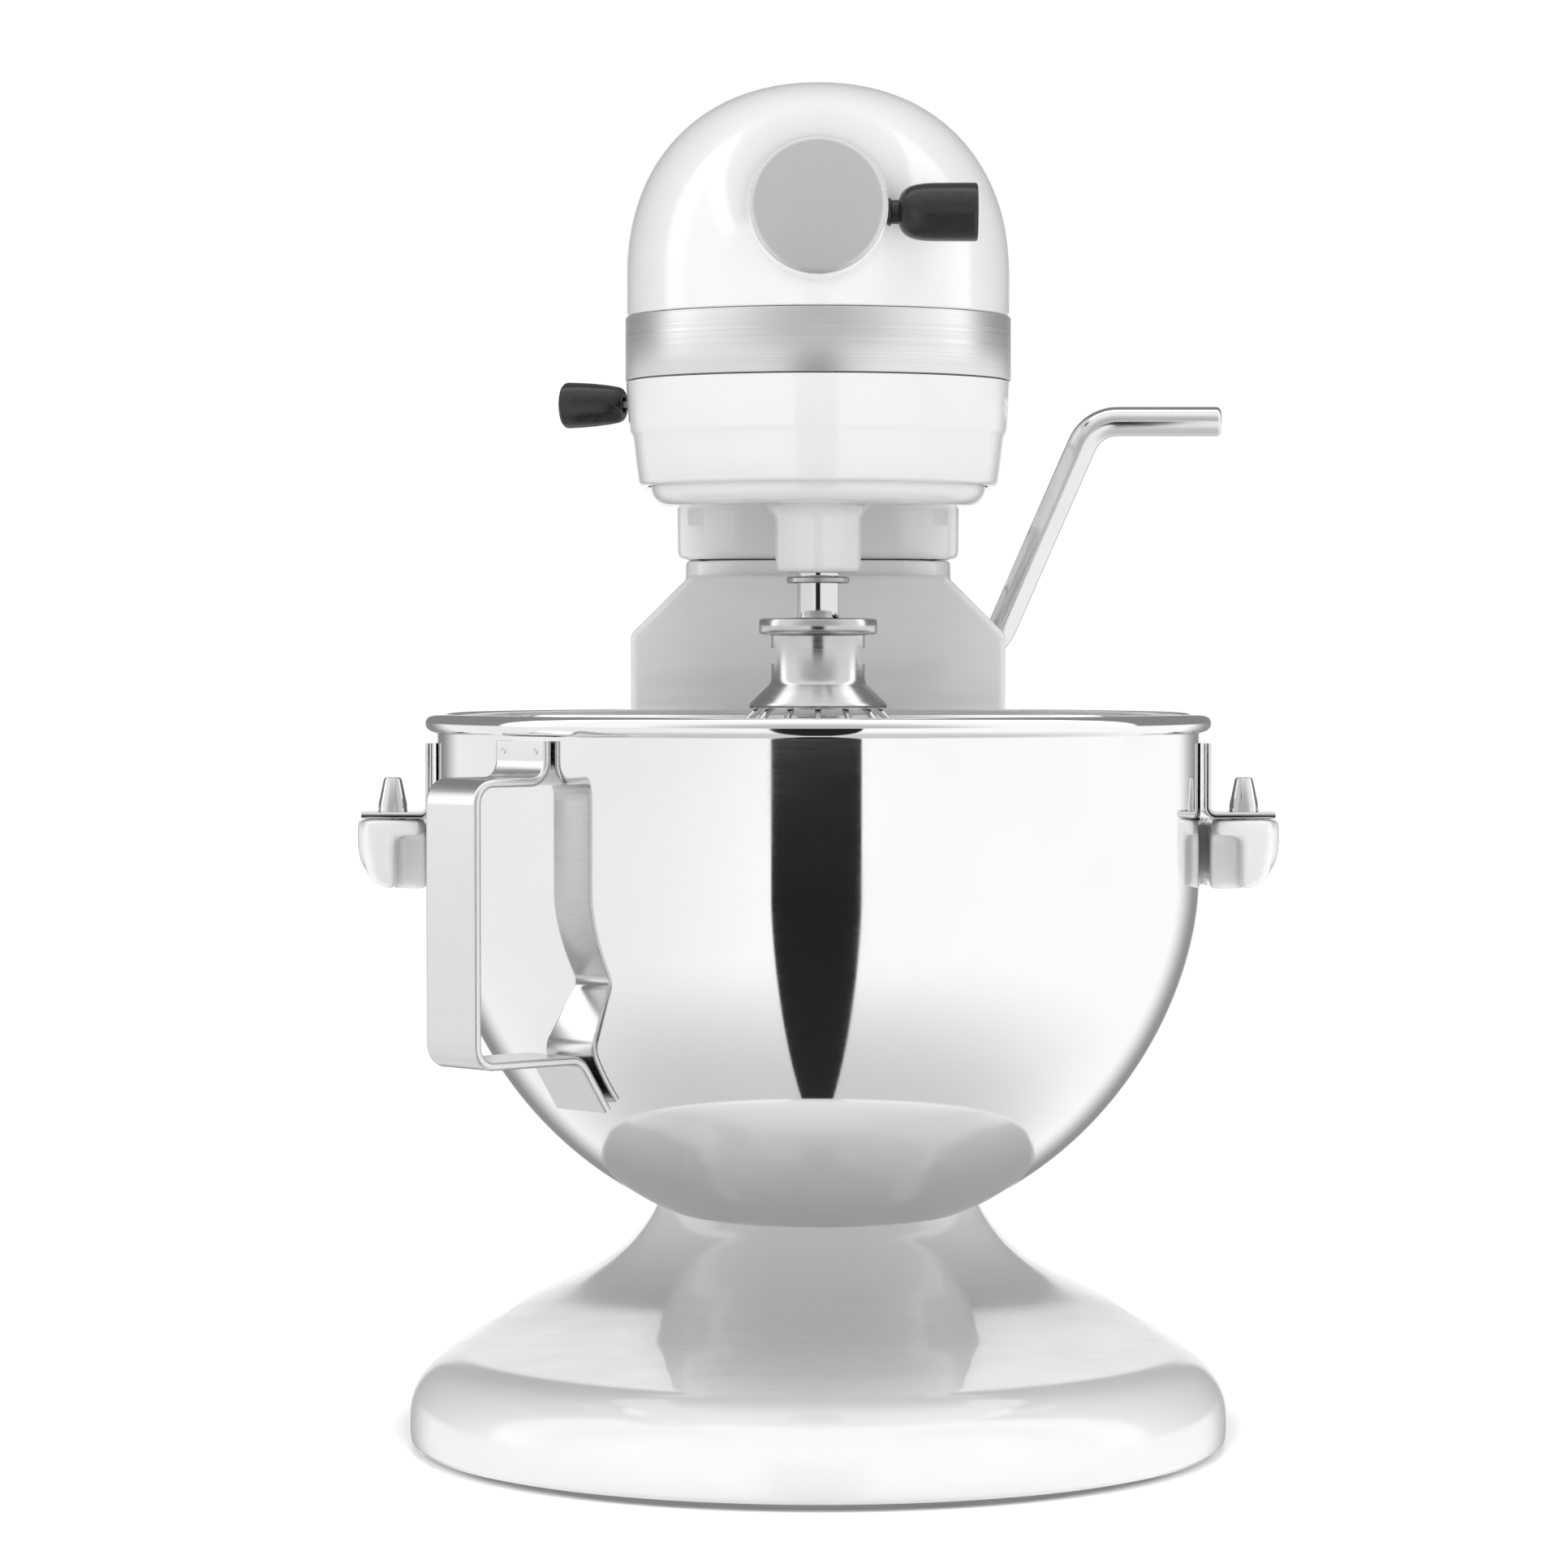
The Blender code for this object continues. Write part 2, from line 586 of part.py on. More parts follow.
def whip_wires():
    """Seven wire loops at even angles, each hanging a little higher than the last."""
    for k in range(WIRES):
        low = WHIP_LOW + WHIP_STEP * k
        leg = bezier(((16, 232.5), (48, 200.5), (68, 190), (68, 152)), 6)
        leg += bezier(((68, 152), (68, 118), (40, low), (0, low)), 6)
        half = leg + [Vector((0, low))] + [Vector((-p.x, p.y)) for p in leg[::-1]]
        angle = WHIP_TURN + math.pi * k / WIRES
        points = [(p.x * math.cos(angle), whip_y() + p.x * math.sin(angle), p.y) for p in half]
        rod(f"whip_wire_{k + 1}", points, WIRE_R, POLISHED, (0, whip_y(), 0), sides=1)


def whip_hub():
    """The cast hub: bored for the shaft, slotted for its pin, drilled for the wires."""
    profile = [(0, 233.0), (6.7, 233.0), (6.7, 257.5), (17.6, 257.5), (18.2, 256.9),
               (18.2, 253.1), (17.6, 252.5), (14.4, 252.5), (14.4, 238.0), (21.3, 231.2),
               (21.3, 230.2), (20.8, 229.8), (0, 229.8)]
    centre = (0, whip_y(), 0)
    hub = turned("whip_hub", profile, CAST, centre, steps=22)
    for side in (WHIP_TURN, WHIP_TURN + math.pi):
        wedge = [(5 * math.cos(a + side), 5 * math.sin(a + side)) for a in (-0.97, 0.45)]
        wedge += [(20 * math.cos(a + side), 20 * math.sin(a + side))
                  for a in (0.26, 0, -0.26, -0.52, -0.78)]
        window = as_mesh(flat(f"pin_window_{side:.0f}", [wedge], 243.6, 248.4, None, centre))
        combine(hub, window)
    entry = block("pin_entry", (-12.4, -2.4, 243.6), (12.4, 2.4, 262), None)
    turn = Matrix.Rotation(WHIP_TURN - math.radians(30), 4, "Z")
    entry.matrix_world = Matrix.Translation(Vector((0, whip_y(), 252.8)) * MM) @ turn
    combine(hub, entry)
    combine(hub, wire_holes())


def wire_holes():
    """One cutter with a slanted hole for each wire leg."""
    bm = bmesh.new()
    for k in range(2 * WIRES):
        spin = Matrix.Rotation(WHIP_TURN + math.pi * k / WIRES, 4, "Z")
        lean = Matrix.Rotation(math.radians(-45), 4, "Y")
        place = Matrix.Translation(Vector((18.5, 0, 230.0)) * MM)
        bmesh.ops.create_cone(bm, cap_ends=True, segments=8, radius1=1.4 * MM,
                              radius2=1.4 * MM, depth=9 * MM, matrix=spin @ place @ lean)
    mesh = bpy.data.meshes.new("wire_holes")
    bm.to_mesh(mesh)
    bm.free()
    return add("wire_holes", mesh, None, Matrix.Translation((0, whip_y() * MM, 0)))


# ---------------------------------------------------------------- gears

def gear(teeth, radius, phase=0.0, out=ADDENDUM, down=DEDENDUM):
    """Tapered teeth round a pitch circle, one tooth's middle at the angle phase."""
    step = TURN / teeth
    points = []
    for k in range(teeth):
        for share, height in ((-0.27, -down), (-0.13, out), (0.13, out), (0.27, -down)):
            angle = phase + (k + share) * step
            points.append(((radius + height) * math.cos(angle),
                           (radius + height) * math.sin(angle)))
    return points


def bevel_gear(name, teeth, cone, phase, hub, finish, origin, plane):
    """A bevel gear whose apex is at the origin, below it on the plane's normal."""
    cone_length = math.hypot(BEVEL_R, HUB_BEVEL_R)
    radial, drop = math.sin(cone), math.cos(cone)
    outer = []
    for k in range(teeth):
        for share, height in ((-0.27, -1.5), (-0.13, 1.1), (0.13, 1.1), (0.27, -1.5)):
            angle = phase + (k + share) * TURN / teeth
            r = cone_length * radial + height * drop
            outer.append((r, angle, -cone_length * drop + height * radial))
    shrink = 1 - 7 / cone_length
    inner = [(r * shrink, a, h * shrink) for r, a, h in outer]
    bore, hub_r, bottom = hub
    top = -cone_length * drop * shrink - 0.4
    rings = [[(bore, a, bottom) for r, a, h in outer], [(hub_r, a, bottom) for r, a, h in outer],
             outer, inner, [(bore, a, top) for r, a, h in outer]]
    world = PLANES[plane]
    rings = [[Vector(origin) + world @ Vector((r * math.cos(a), r * math.sin(a), h))
              for r, a, h in ring] for ring in rings]
    loft(name, rings, finish, origin, loop=True)


def centre_shaft_gears():
    """The upright shaft over the bowl axis, with its spur gear and its bevel gear."""
    axis = (0, BOWL_Y, 0)
    turned("center_shaft", [(0, 373), (5.4, 373), (6, 372.4), (6, 293.5), (0, 293.5)],
           STEEL, axis, steps=24)
    mesh_angle = math.atan2(-BOWL_Y, CLUSTER_X)
    flat("center_gear", [gear(CENTRE_TEETH, CENTRE_R, mesh_angle), circle(6.3)], 318, 325,
         STEEL, axis)
    bevel_gear("center_bevel_gear", BEVEL_TEETH, math.atan2(BEVEL_R, HUB_BEVEL_R), -math.pi / 2,
               (6.3, 12, -15.5), STEEL, (0, BOWL_Y, HUB_Z), "XY")


def cluster_gears():
    """The worm wheel on its upright shaft, whose lower end is cut as a pinion."""
    axis = (CLUSTER_X, 0, 0)
    mesh_angle = math.atan2(BOWL_Y, -CLUSTER_X) + math.pi / PINION_TEETH
    teeth = gear(PINION_TEETH, PINION_R, mesh_angle)
    rings = []
    for z, toothed in ((314, 0), (318, 0), (318, 1), (325, 1), (325, 0), (378, 0)):
        ring = []
        for u, v in teeth:
            scale = 1 if toothed else 5 / math.hypot(u, v)
            ring.append((CLUSTER_X + u * scale, v * scale, z))
        rings.append(ring)
    loft("worm_wheel_shaft", rings, STEEL, axis)
    wheel = gear(WHEEL_TEETH, WHEEL_R, math.pi, 1.2, 1.5)
    flat("worm_wheel", [wheel, circle(5.3)], 363, 369, BRASS, axis)


def planetary():
    """The carrier under the head, with its slanted column for the agitator shaft."""
    axis = (0, BOWL_Y, 0)
    disc = [(0, 299.2), (51.2, 299.2), (52, 298.4), (52, 296.8), (50.2, 294.4), (46.6, 292.8),
            (42, 292.2), (0, 292.2)]
    carrier = turned("planetary_carrier", disc, ENAMEL, axis, steps=40)
    column = [(0, 294), (20, 293.4), (15.6, 291.2), (13.6, 287.6), (13, 283), (13, 273.1),
              (12.4, 271.6), (11, 271.3), (0, 271.3)]
    combine(carrier, turned("carrier_column", column, None, (0, whip_y(), 0)), "UNION")
    combine(carrier, drill("agitator_bore", 6.65, 265, 305, (0, whip_y(), 0)))
    combine(carrier, drill("centre_bore", 6.3, 293.2, 305, axis))


def agitator():
    """The shaft that carries the whip, with its cross pin, washer and planet pinion."""
    axis = (0, whip_y(), 0)
    body = [(0, 308.3), (5.8, 308.3), (6.35, 307.7), (6.35, 235.2), (5.6, 234.2), (0, 234.2)]
    shaft = turned("agitator_shaft", body, POLISHED, axis, steps=24)
    pin_place = (0, whip_y(), 246)
    combine(shaft, spun(drill("pin_bore", 2.2, -10, 10, pin_place, "YZ", 14), pin_place,
                        WHIP_TURN))
    pin = [(0, 12), (1.5, 12), (1.9, 11.6), (1.9, -11.6), (1.5, -12), (0, -12)]
    spun(turned("agitator_pin", pin, STEEL, pin_place, "YZ", 12), pin_place, WHIP_TURN)
    ring = [(6.65, 270.2), (9.6, 270.2), (9.6, 268.2), (6.65, 268.2)]
    turned("shaft_washer", ring, STEEL, axis, steps=24, ring=True)
    flat("agitator_pinion", [gear(AGITATOR_TEETH, AGITATOR_R, -math.pi / 2), circle(6.65)],
         301.3, 306.7, STEEL, axis)


def ring_gear():
    """The fixed internal gear that the planet pinion rolls in."""
    inner = gear(RING_TEETH, RING_R, -math.pi / 2 + math.pi / RING_TEETH, -ADDENDUM, -DEDENDUM)
    flat("ring_gear", [circle(52.3, 36), inner], 301.3, 306.7, STEEL, (0, BOWL_Y, 0))


def hub_drive():
    """The attachment drive: a level shaft with a bevel gear at its rear."""
    axis = (0, BOWL_Y, HUB_Z)
    bevel_gear("hub_bevel_gear", HUB_BEVEL_TEETH, math.atan2(HUB_BEVEL_R, BEVEL_R),
               math.pi + math.pi / HUB_BEVEL_TEETH, (4.3, 7, -25), STEEL, axis, "ZX")
    shaft = [(0, -14.5), (4, -14.5), (4, -27), (6, -27), (6, -58), (0, -58)]
    turned("hub_drive_shaft", shaft, STEEL, axis, "ZX", 20)


# ---------------------------------------------------------------- motor

def armature_shaft():
    """The motor shaft with a right-hand worm cut at its front."""
    around, root, crest, half_length = 14, 5.6, 8.1, 10.0
    offset = WORM_PITCH / 4
    rings = []

    def ring(y, radius_at):
        return [(radius_at(TURN * i / around) * math.sin(TURN * i / around), y,
                 MOTOR_Z + radius_at(TURN * i / around) * math.cos(TURN * i / around))
                for i in range(around)]

    def thread(y):
        def radius(angle):
            turns = (y - offset) / WORM_PITCH - angle / TURN
            away = abs((turns + 0.5) % 1 - 0.5)
            height = min(max((0.27 - away) / 0.14, 0), 1)
            return root + (crest - root) * height * min((half_length - abs(y)) / 1.2, 1)
        return radius

    for y, r in ((-16, 3.4), (-15.4, 4), (-12, 4), (-11, root)):
        rings.append(ring(y, lambda angle, r=r: r))
    levels = 24
    for i in range(levels + 1):
        y = half_length * (2 * i / levels - 1)
        rings.append(ring(y, thread(y)))
    for y, r in ((12, root), (13, 4.2), (29, 4.2), (29.6, 5), (117, 5), (117.6, 4.2), (130, 4.2)):
        rings.append(ring(y, lambda angle, r=r: r))
    loft("armature_shaft", rings, STEEL, (0, 0, MOTOR_Z))


def motor():
    """Armature, commutator, fan, stator and the two bearing brackets on the motor's axis."""
    axis = (0, 0, MOTOR_Z)
    core = gear(12, 20, 0, 2.0, 5.0)
    flat("armature_core", [core, circle(5.3)], 40, 80, COPPER, axis, "ZX")
    ring = [(5.3, 96), (14, 96), (14, 84), (5.3, 84)]
    turned("commutator", ring, COPPER, axis, "ZX", 24, ring=True)
    flat("cooling_fan", [gear(9, 26, 0, 7, 8), circle(5.3)], 100, 110, BLACK, axis, "ZX")
    flat("stator_core", [circle(38, 36), circle(23, 32)], 38, 82, STEEL, axis, "ZX")
    front = [(-52.4, 40), (-52.4, -40), (-22, -40), (22, -22), (22, 22), (-22, 40)]
    flat("front_bearing_bracket", [front, circle(4.5, 20)], 22, 28, CAST, axis, "ZX")
    flat("rear_bearing_bracket", [circle(30, 32), circle(4.5, 20)], 119, 124, CAST, axis, "ZX")


# ---------------------------------------------------------------- head

def gear_housing():
    """The lower head casting, open on top, with the planetary's pocket below and a neck."""
    rings = [(298.5, 55.2), (299.3, 55.8), (313.4, 57.7), (315.0, 58.5), (330.7, 59.6)]
    housing = loft("gear_housing", [stadium(z, half, HEAD_REAR) for z, half in rings], ENAMEL)
    neck = [superellipse(z, half, 93, 130, 166, 4.0, 4.0) for z, half in
            ((278.5, 46.6), (280.2, 48.2), (298.0, 48.4))]
    combine(housing, loft("neck", neck, None), "UNION")
    combine(housing, block("neck_join", (-44, 96, 290), (44, 117.5, 305), None), "UNION")
    cavity = [stadium(z, half, HEAD_REAR - 3)
              for z, half in ((313, 54.4), (315, 55.3), (340, 56.8))]
    combine(housing, loft("housing_cavity", cavity, None))
    combine(housing, drill("planetary_pocket", 52.9, 290, 309, (0, BOWL_Y, 0), steps=40))
    combine(housing, drill("shaft_bore", 6.3, 300, 320, (0, BOWL_Y, 0)))
    combine(housing, block("neck_pocket", (-40, 100, 270), (40, 158, 294.5), None))
    combine(housing, block("speed_slot", (-70, -28, 324.6), (-45, 14, 328.6), None))


def cover_rings(inset, rear, levels):
    """Stadium rings of the upper cover or, with an inset, of the space inside it."""
    rings = [(BAND_LOW - 5, HEAD_HALF - inset), (HEAD_MID_Z, HEAD_HALF - inset)]
    if not inset:
        recess = HEAD_HALF - 1.9
        rings = [(BAND_LOW, recess), (BAND_HIGH + 0.1, recess), (BAND_HIGH + 0.5, HEAD_HALF),
                 (HEAD_MID_Z, HEAD_HALF)]
    for i in range(1, levels + 1):
        z = HEAD_MID_Z + (HEAD_RISE - inset) * math.sin(math.pi / 2 * i / (levels + 0.4))
        rings.append((z, head_half(z, inset)))
    return [stadium(z, half, rear) for z, half in rings]


def motor_cover():
    """The upper head shell with the attachment hub's boss blended into its front."""
    cover = loft("motor_cover", cover_rings(0, HEAD_REAR, 9), ENAMEL)
    boss = [(0, -120.9), (20.0, -120.9), (20.8, -120.1), (21.2, -111), (22.0, -107),
            (23.8, -103.4), (26.6, -100.6), (28.4, -99.4), (28.4, -88), (0, -88)]
    combine(cover, turned("hub_boss", boss[::-1], None, (0, 0, HUB_Z), "ZX", 24), "UNION")
    combine(cover, loft("cover_cavity", cover_rings(4.9, HEAD_REAR + 12, 5), None))
    combine(cover, drill("hub_bore", 17.3, -125, -60, (0, 0, HUB_Z), "ZX", 28))
    combine(cover, drill("knob_hole", 4.0, 12, 26, KNOB_AT, "YZ", 12))
    combine(cover, drill("brush_holes", 8.4, -65, 65, BRUSH_AT, "YZ", 16))


def head_outline(scale, y):
    """An upright ring of the head's full outline, scaled about its middle height."""
    middle = 360.0
    half = [(0, 298.8), (40, 298.8), (53.5, 299.0), (55.9, 300.5), (57.7, 313.4), (59.6, 331)]
    half += [(HEAD_HALF, 347), (HEAD_HALF, HEAD_MID_Z)]
    for i in range(1, 6):
        z = HEAD_MID_Z + HEAD_RISE * math.sin(math.pi / 2 * i / 6)
        half.append((head_half(z), z))
    half.append((0, HEAD_MID_Z + HEAD_RISE))
    ring = half + [(-x, z) for x, z in half[-2:0:-1]]
    return [(x * scale, y, middle + (z - middle) * scale) for x, z in ring]


def rear_cover():
    """The domed end cap behind the motor, with cooling slots low in its back."""
    start, depth = HEAD_REAR + GAP, 46.7
    shares = [0, 0.35, 0.62, 0.82, 0.94, 0.99, 1]
    rings = [head_outline((1 - s ** 2.6) ** (1 / 2.6) if s < 1 else 0.12, start + depth * s)
             for s in shares]
    cap = loft("rear_cover", rings, ENAMEL)
    inner = [head_outline((1 - s ** 2.6) ** (1 / 2.6) * 0.945 if s < 1 else 0.1,
                          start + (depth - 3) * s) for s in shares]
    inner.insert(0, head_outline(0.945, start - 5))
    combine(cap, loft("rear_cavity", inner, None))
    slots = bmesh.new()
    for x in (-24, -16, -8, 0, 8, 16, 24):
        spot = Matrix.Translation(Vector((x, 155, 330)) * MM)
        cube = bmesh.ops.create_cube(slots, size=MM, matrix=spot)
        bmesh.ops.scale(slots, vec=(3, 40, 18), space=spot.inverted(), verts=cube["verts"])
    mesh = bpy.data.meshes.new("vent_slots")
    slots.to_mesh(mesh)
    slots.free()
    combine(cap, add("vent_slots", mesh, None, Matrix.Identity(4)))


def trim_band():
    """The brushed band round the front and sides of the head."""
    outer = [p[:2] for p in stadium(0, HEAD_HALF + 0.2, HEAD_REAR, 28)]
    inner = [p[:2] for p in stadium(0, HEAD_HALF - 1.6, HEAD_REAR, 28)]
    outline = outer[:-1] + inner[-2::-1] + [inner[-1], outer[-1]]
    flat("trim_band", [outline], BAND_LOW + 0.1, BAND_HIGH - 0.1, BRUSHED)


def hub_fittings():
    """The round cap over the attachment hub and the knob that clamps it."""
    cap = [(0, -126.4), (19.4, -126.4), (20.2, -125.6), (20.2, -121.3), (16.6, -121.2),
           (16.6, -108.6), (0, -108.6)]
    turned("hub_cover", cap[::-1], CAST, (0, 0, HUB_Z), "ZX", 26)
    knob = [(0, 47.5), (7.6, 47.5), (8.65, 46.5), (8.5, 40), (7.4, 31), (6.2, 26.6), (4.6, 25),
            (3.6, 24.6), (3.6, 17.7), (0, 17.7)]
    turned("hub_knob", knob, BLACK, KNOB_AT, "YZ", 16)


def speed_control():
    """The speed lever, hinged inside the head, and its knob outside the left wall."""
    outline = [(-6, -4), (-4, -6), (0, -7), (4, -6), (6, -4), (6.5, 0), (6, 4), (4, 6), (0, 7),
               (-4, 6), (-6, 4), (-40, 3), (-46, 1.6), (-66, 1.6), (-66, -1.6), (-46, -1.6),
               (-40, -3)]
    lever = flat("speed_lever", [outline, circle(2.5, 12)], -1, 1, STEEL, LEVER_PIVOT)
    profile = [(0, -68), (2.5, -68), (2.5, -58.2), (4.4, -58.2), (5.6, -59.4), (7.0, -70),
               (7.4, -77.0), (6.6, -78.4), (0, -78.4)]
    knob = turned("speed_knob", profile, BLACK, LEVER_PIVOT, "YZ", 16)
    for obj in (lever, knob):
        spun(obj, LEVER_PIVOT, -LEVER_REST)


def brush_caps():
    """The screw caps over the motor brushes, one in each side of the cover."""
    for name, side in (("brush_cap_left", -1), ("brush_cap_right", 1)):
        profile = [(0, 59.9), (6.8, 59.9), (8.0, 58.9), (8.0, 50), (0, 50)]
        if side < 0:
            profile = [(r, -h) for r, h in profile[::-1]]
        turned(name, profile, BLACK, BRUSH_AT, "YZ", 20)


for make in (pedestal, base_plate, feet, cord_gland, bowl_support_yoke, locating_pins,
             bowl_latch_spring, lift_bracket, lift_spring, spring_bracket, lift_handle,
             lift_crank, handle_bushing, bowl, bowl_handle, bowl_brackets, bowl_rear_clip,
             whip_wires, whip_hub, centre_shaft_gears, cluster_gears, planetary, agitator,
             ring_gear, hub_drive, armature_shaft, motor, gear_housing, motor_cover,
             rear_cover, trim_band, hub_fittings, speed_control, brush_caps):
    make()
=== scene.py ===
"""The looks of the stand mixer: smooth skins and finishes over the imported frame.

Lengths are in millimetres and MM turns them into metres. Driving sizes are read from the frame.
"""

import json
import math

import bmesh
import bpy
from mathutils import Matrix, Vector


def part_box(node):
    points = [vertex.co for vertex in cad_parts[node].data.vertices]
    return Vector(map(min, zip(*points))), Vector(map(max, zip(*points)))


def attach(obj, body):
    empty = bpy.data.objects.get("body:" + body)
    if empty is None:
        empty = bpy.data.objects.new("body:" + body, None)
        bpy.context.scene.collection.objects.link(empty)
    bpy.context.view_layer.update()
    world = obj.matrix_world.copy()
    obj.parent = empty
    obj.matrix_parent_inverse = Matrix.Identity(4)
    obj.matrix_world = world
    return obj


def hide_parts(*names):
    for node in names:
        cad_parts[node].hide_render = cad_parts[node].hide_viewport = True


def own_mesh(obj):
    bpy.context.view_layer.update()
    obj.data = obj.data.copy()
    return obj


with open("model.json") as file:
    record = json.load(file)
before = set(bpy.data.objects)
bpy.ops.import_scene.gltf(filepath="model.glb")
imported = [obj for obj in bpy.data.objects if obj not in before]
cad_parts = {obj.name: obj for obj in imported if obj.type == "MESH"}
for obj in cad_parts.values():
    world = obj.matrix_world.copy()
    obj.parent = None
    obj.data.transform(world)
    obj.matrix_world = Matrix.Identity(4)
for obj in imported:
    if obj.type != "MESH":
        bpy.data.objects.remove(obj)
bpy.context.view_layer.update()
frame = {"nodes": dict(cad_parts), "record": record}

MM = 0.001
TURN = 2 * math.pi


def low(node, axis):
    """A node's lowest coordinate on an axis, in millimetres."""
    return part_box(node)[0][axis] / MM


def high(node, axis):
    """A node's highest coordinate on an axis, in millimetres."""
    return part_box(node)[1][axis] / MM


def middle(node, axis):
    """The middle of a node's box on an axis, in millimetres."""
    return (low(node, axis) + high(node, axis)) / 2


# Places read from the frame
BOWL_Y = middle("ring_gear", 1)
WHIP_Y = middle("whip_hub", 1)
BOWL_AXIS = (0, BOWL_Y, 0)
WHIP_AXIS = (0, WHIP_Y, 0)
HUB_Z = middle("hub_cover", 2)
HEAD_HALF = high("motor_cover", 0)
HEAD_REAR = high("motor_cover", 1)
HEAD_TOP = high("rear_cover", 2)
BAND_LOW = low("trim_band", 2)
BAND_HIGH = high("trim_band", 2)
HEAD_MID_Z = BAND_HIGH + 12.2  # height where the head is widest
HEAD_RISE = HEAD_TOP - HEAD_MID_Z
RIM_Z = high("bowl", 2) - 3.0
BOWL_FLOOR = low("bowl", 2)
PIN_X = middle("locating_pin_right", 0)
PIN_TOP = high("locating_pin_right", 2)
GRIP_R = (high("lift_handle", 1) - low("lift_handle", 1)) / 2
HANDLE_Y = middle("handle_bushing", 1)
HANDLE_Z = middle("handle_bushing", 2)
COLUMN_TOP = high("pedestal", 2)
MOTOR_Z = middle("brush_cap_left", 2)
BRUSH_Y = middle("brush_cap_left", 1)
KNOB_Y = middle("hub_knob", 1)
KNOB_Z = middle("hub_knob", 2)
DISC_LOW = 292.2  # underside of the planetary disc

# Studio light levels. The greys are what shiny surfaces find darker than the surround.
SURROUND = 1.05
FILL = 0.52  # the share of the surround that lights matte surfaces
REAR_GREY = 0.75  # a ring behind the machine, below the horizon
LEFT_GREY = 0.14  # on the left, below the horizon
LOW_GREY = 0.42  # straight down
FRONT_GREY = 0.50  # in front, above the horizon
BACK_GREY = 0.80  # behind, above the horizon
ARCH_GLOW = 0.75  # extra light in a tall arch from side to side over the machine

# Shapes
BOWL_R = 118.7
BOWL_TURN_Z = 175.72  # where the bowl's straight wall starts to curve in
BOWL_DEPTH = 110.31  # from there down to the tip of the curve
BOWL_CURVE = (1.766, 2.139)  # how square the curve is in height and in radius
STRAP_TURN = math.radians(46.2)  # from the bowl's front round to its handle
HEAD_ROUND = 2.2  # how square the head's crown is in section
REAR_ROUND = 2.6  # and its domed end
LEVER_Z = 325.5  # height of the lift lever's grip
WHIP_TURN = math.pi / 14  # turns the whip so that one wire leg faces the front
WHIP_LEGS = 14
SIDES = (("left", -1), ("right", 1))

# Local axes as world columns, named after the plane that an outline lies in
PLANES = {
    "XY": Matrix(((1, 0, 0), (0, 1, 0), (0, 0, 1))),
    "YZ": Matrix(((0, 0, 1), (1, 0, 0), (0, 1, 0))),
    "XZ": Matrix(((1, 0, 0), (0, 0, -1), (0, 1, 0))),
    "ZX": Matrix(((0, 1, 0), (0, 0, 1), (1, 0, 0))),
}


# ---------------------------------------------------------------- materials

class Nodes:
    """A Principled material with short helpers for its procedural inputs."""

    def __init__(self, name, colour, roughness, metallic=0.0):
        self.material = bpy.data.materials.new(name)
        self.material.use_nodes = True
        self.tree = self.material.node_tree
        self.shader = self.tree.nodes["Principled BSDF"]
        self.set("Base Color", (*colour, 1))
        self.set("Roughness", roughness)
        self.set("Metallic", metallic)

    def set(self, socket, value):
        """Give a shader socket a constant."""
        self.shader.inputs[socket].default_value = value

    def add(self, kind, **values):
        """Add a node and set its properties or its inputs by name."""
        node = self.tree.nodes.new(kind)
        for key, value in values.items():
            if hasattr(node, key):
                setattr(node, key, value)
            else:
                node.inputs[key.replace("_", " ")].default_value = value
        return node

    def link(self, source, target):
        """Join an output to an input."""
        self.tree.links.new(source, target)

    def noise(self, scale, stretch=(1, 1, 1), detail=3.0):
        """A noise in object metres, stretched by a factor on each axis."""
        place = self.add("ShaderNodeTexCoord")
        mapping = self.add("ShaderNodeMapping", Scale=stretch)
        self.link(place.outputs["Object"], mapping.inputs["Vector"])
        noise = self.add("ShaderNodeTexNoise", Scale=scale, Detail=detail)
        self.link(mapping.outputs["Vector"], noise.inputs["Vector"])
        return noise.outputs["Fac"]

    def ranged(self, value, lowest, highest, start=0.3, end=0.7):
        """Map a value between two limits onto a range."""
        node = self.add("ShaderNodeMapRange", From_Min=start, From_Max=end, To_Min=lowest,
                        To_Max=highest)
        self.link(value, node.inputs["Value"])
        return node.outputs["Result"]

    def gloss(self, value, lowest, highest, *limits):
        """Roughness between two limits by a value."""
        self.link(self.ranged(value, lowest, highest, *limits), self.shader.inputs["Roughness"])

    def tint(self, value, first, second):
        """Colour between two tints by a value."""
        node = self.add("ShaderNodeMix", data_type="RGBA")
        node.inputs["A"].default_value = (*first, 1)
        node.inputs["B"].default_value = (*second, 1)
        self.link(self.ranged(value, 0, 1), node.inputs["Factor"])
        self.link(node.outputs["Result"], self.shader.inputs["Base Color"])

    def bump(self, value, strength, distance):
        """Raise the surface by a value, in metres."""
        node = self.add("ShaderNodeBump", Strength=strength, Distance=distance)
        self.link(value, node.inputs["Height"])
        self.link(node.outputs["Normal"], self.shader.inputs["Normal"])

    def worn(self, grain, gloss, tints, height, patches=None):
        """The material, whose gloss and bumps follow a grain, and its tint a grain or patches."""
        self.gloss(grain, *gloss)
        self.tint(patches or grain, *tints)
        self.bump(grain, *height)
        return self.material


def grey(level):
    """A neutral colour."""
    return level, level, level


def enamel():
    """Glossy white enamel with faint orange peel and a slightly uneven gloss."""
    nodes = Nodes("white_enamel", (0.74, 0.74, 0.738), 0.16)
    nodes.set("Coat Weight", 0.7)
    nodes.set("Coat Roughness", 0.05)
    nodes.tint(nodes.noise(14, detail=2), (0.745, 0.745, 0.743), (0.732, 0.734, 0.733))
    nodes.gloss(nodes.noise(60), 0.15, 0.24)
    nodes.bump(nodes.noise(150, detail=1), 0.01, 0.0001)
    return nodes.material


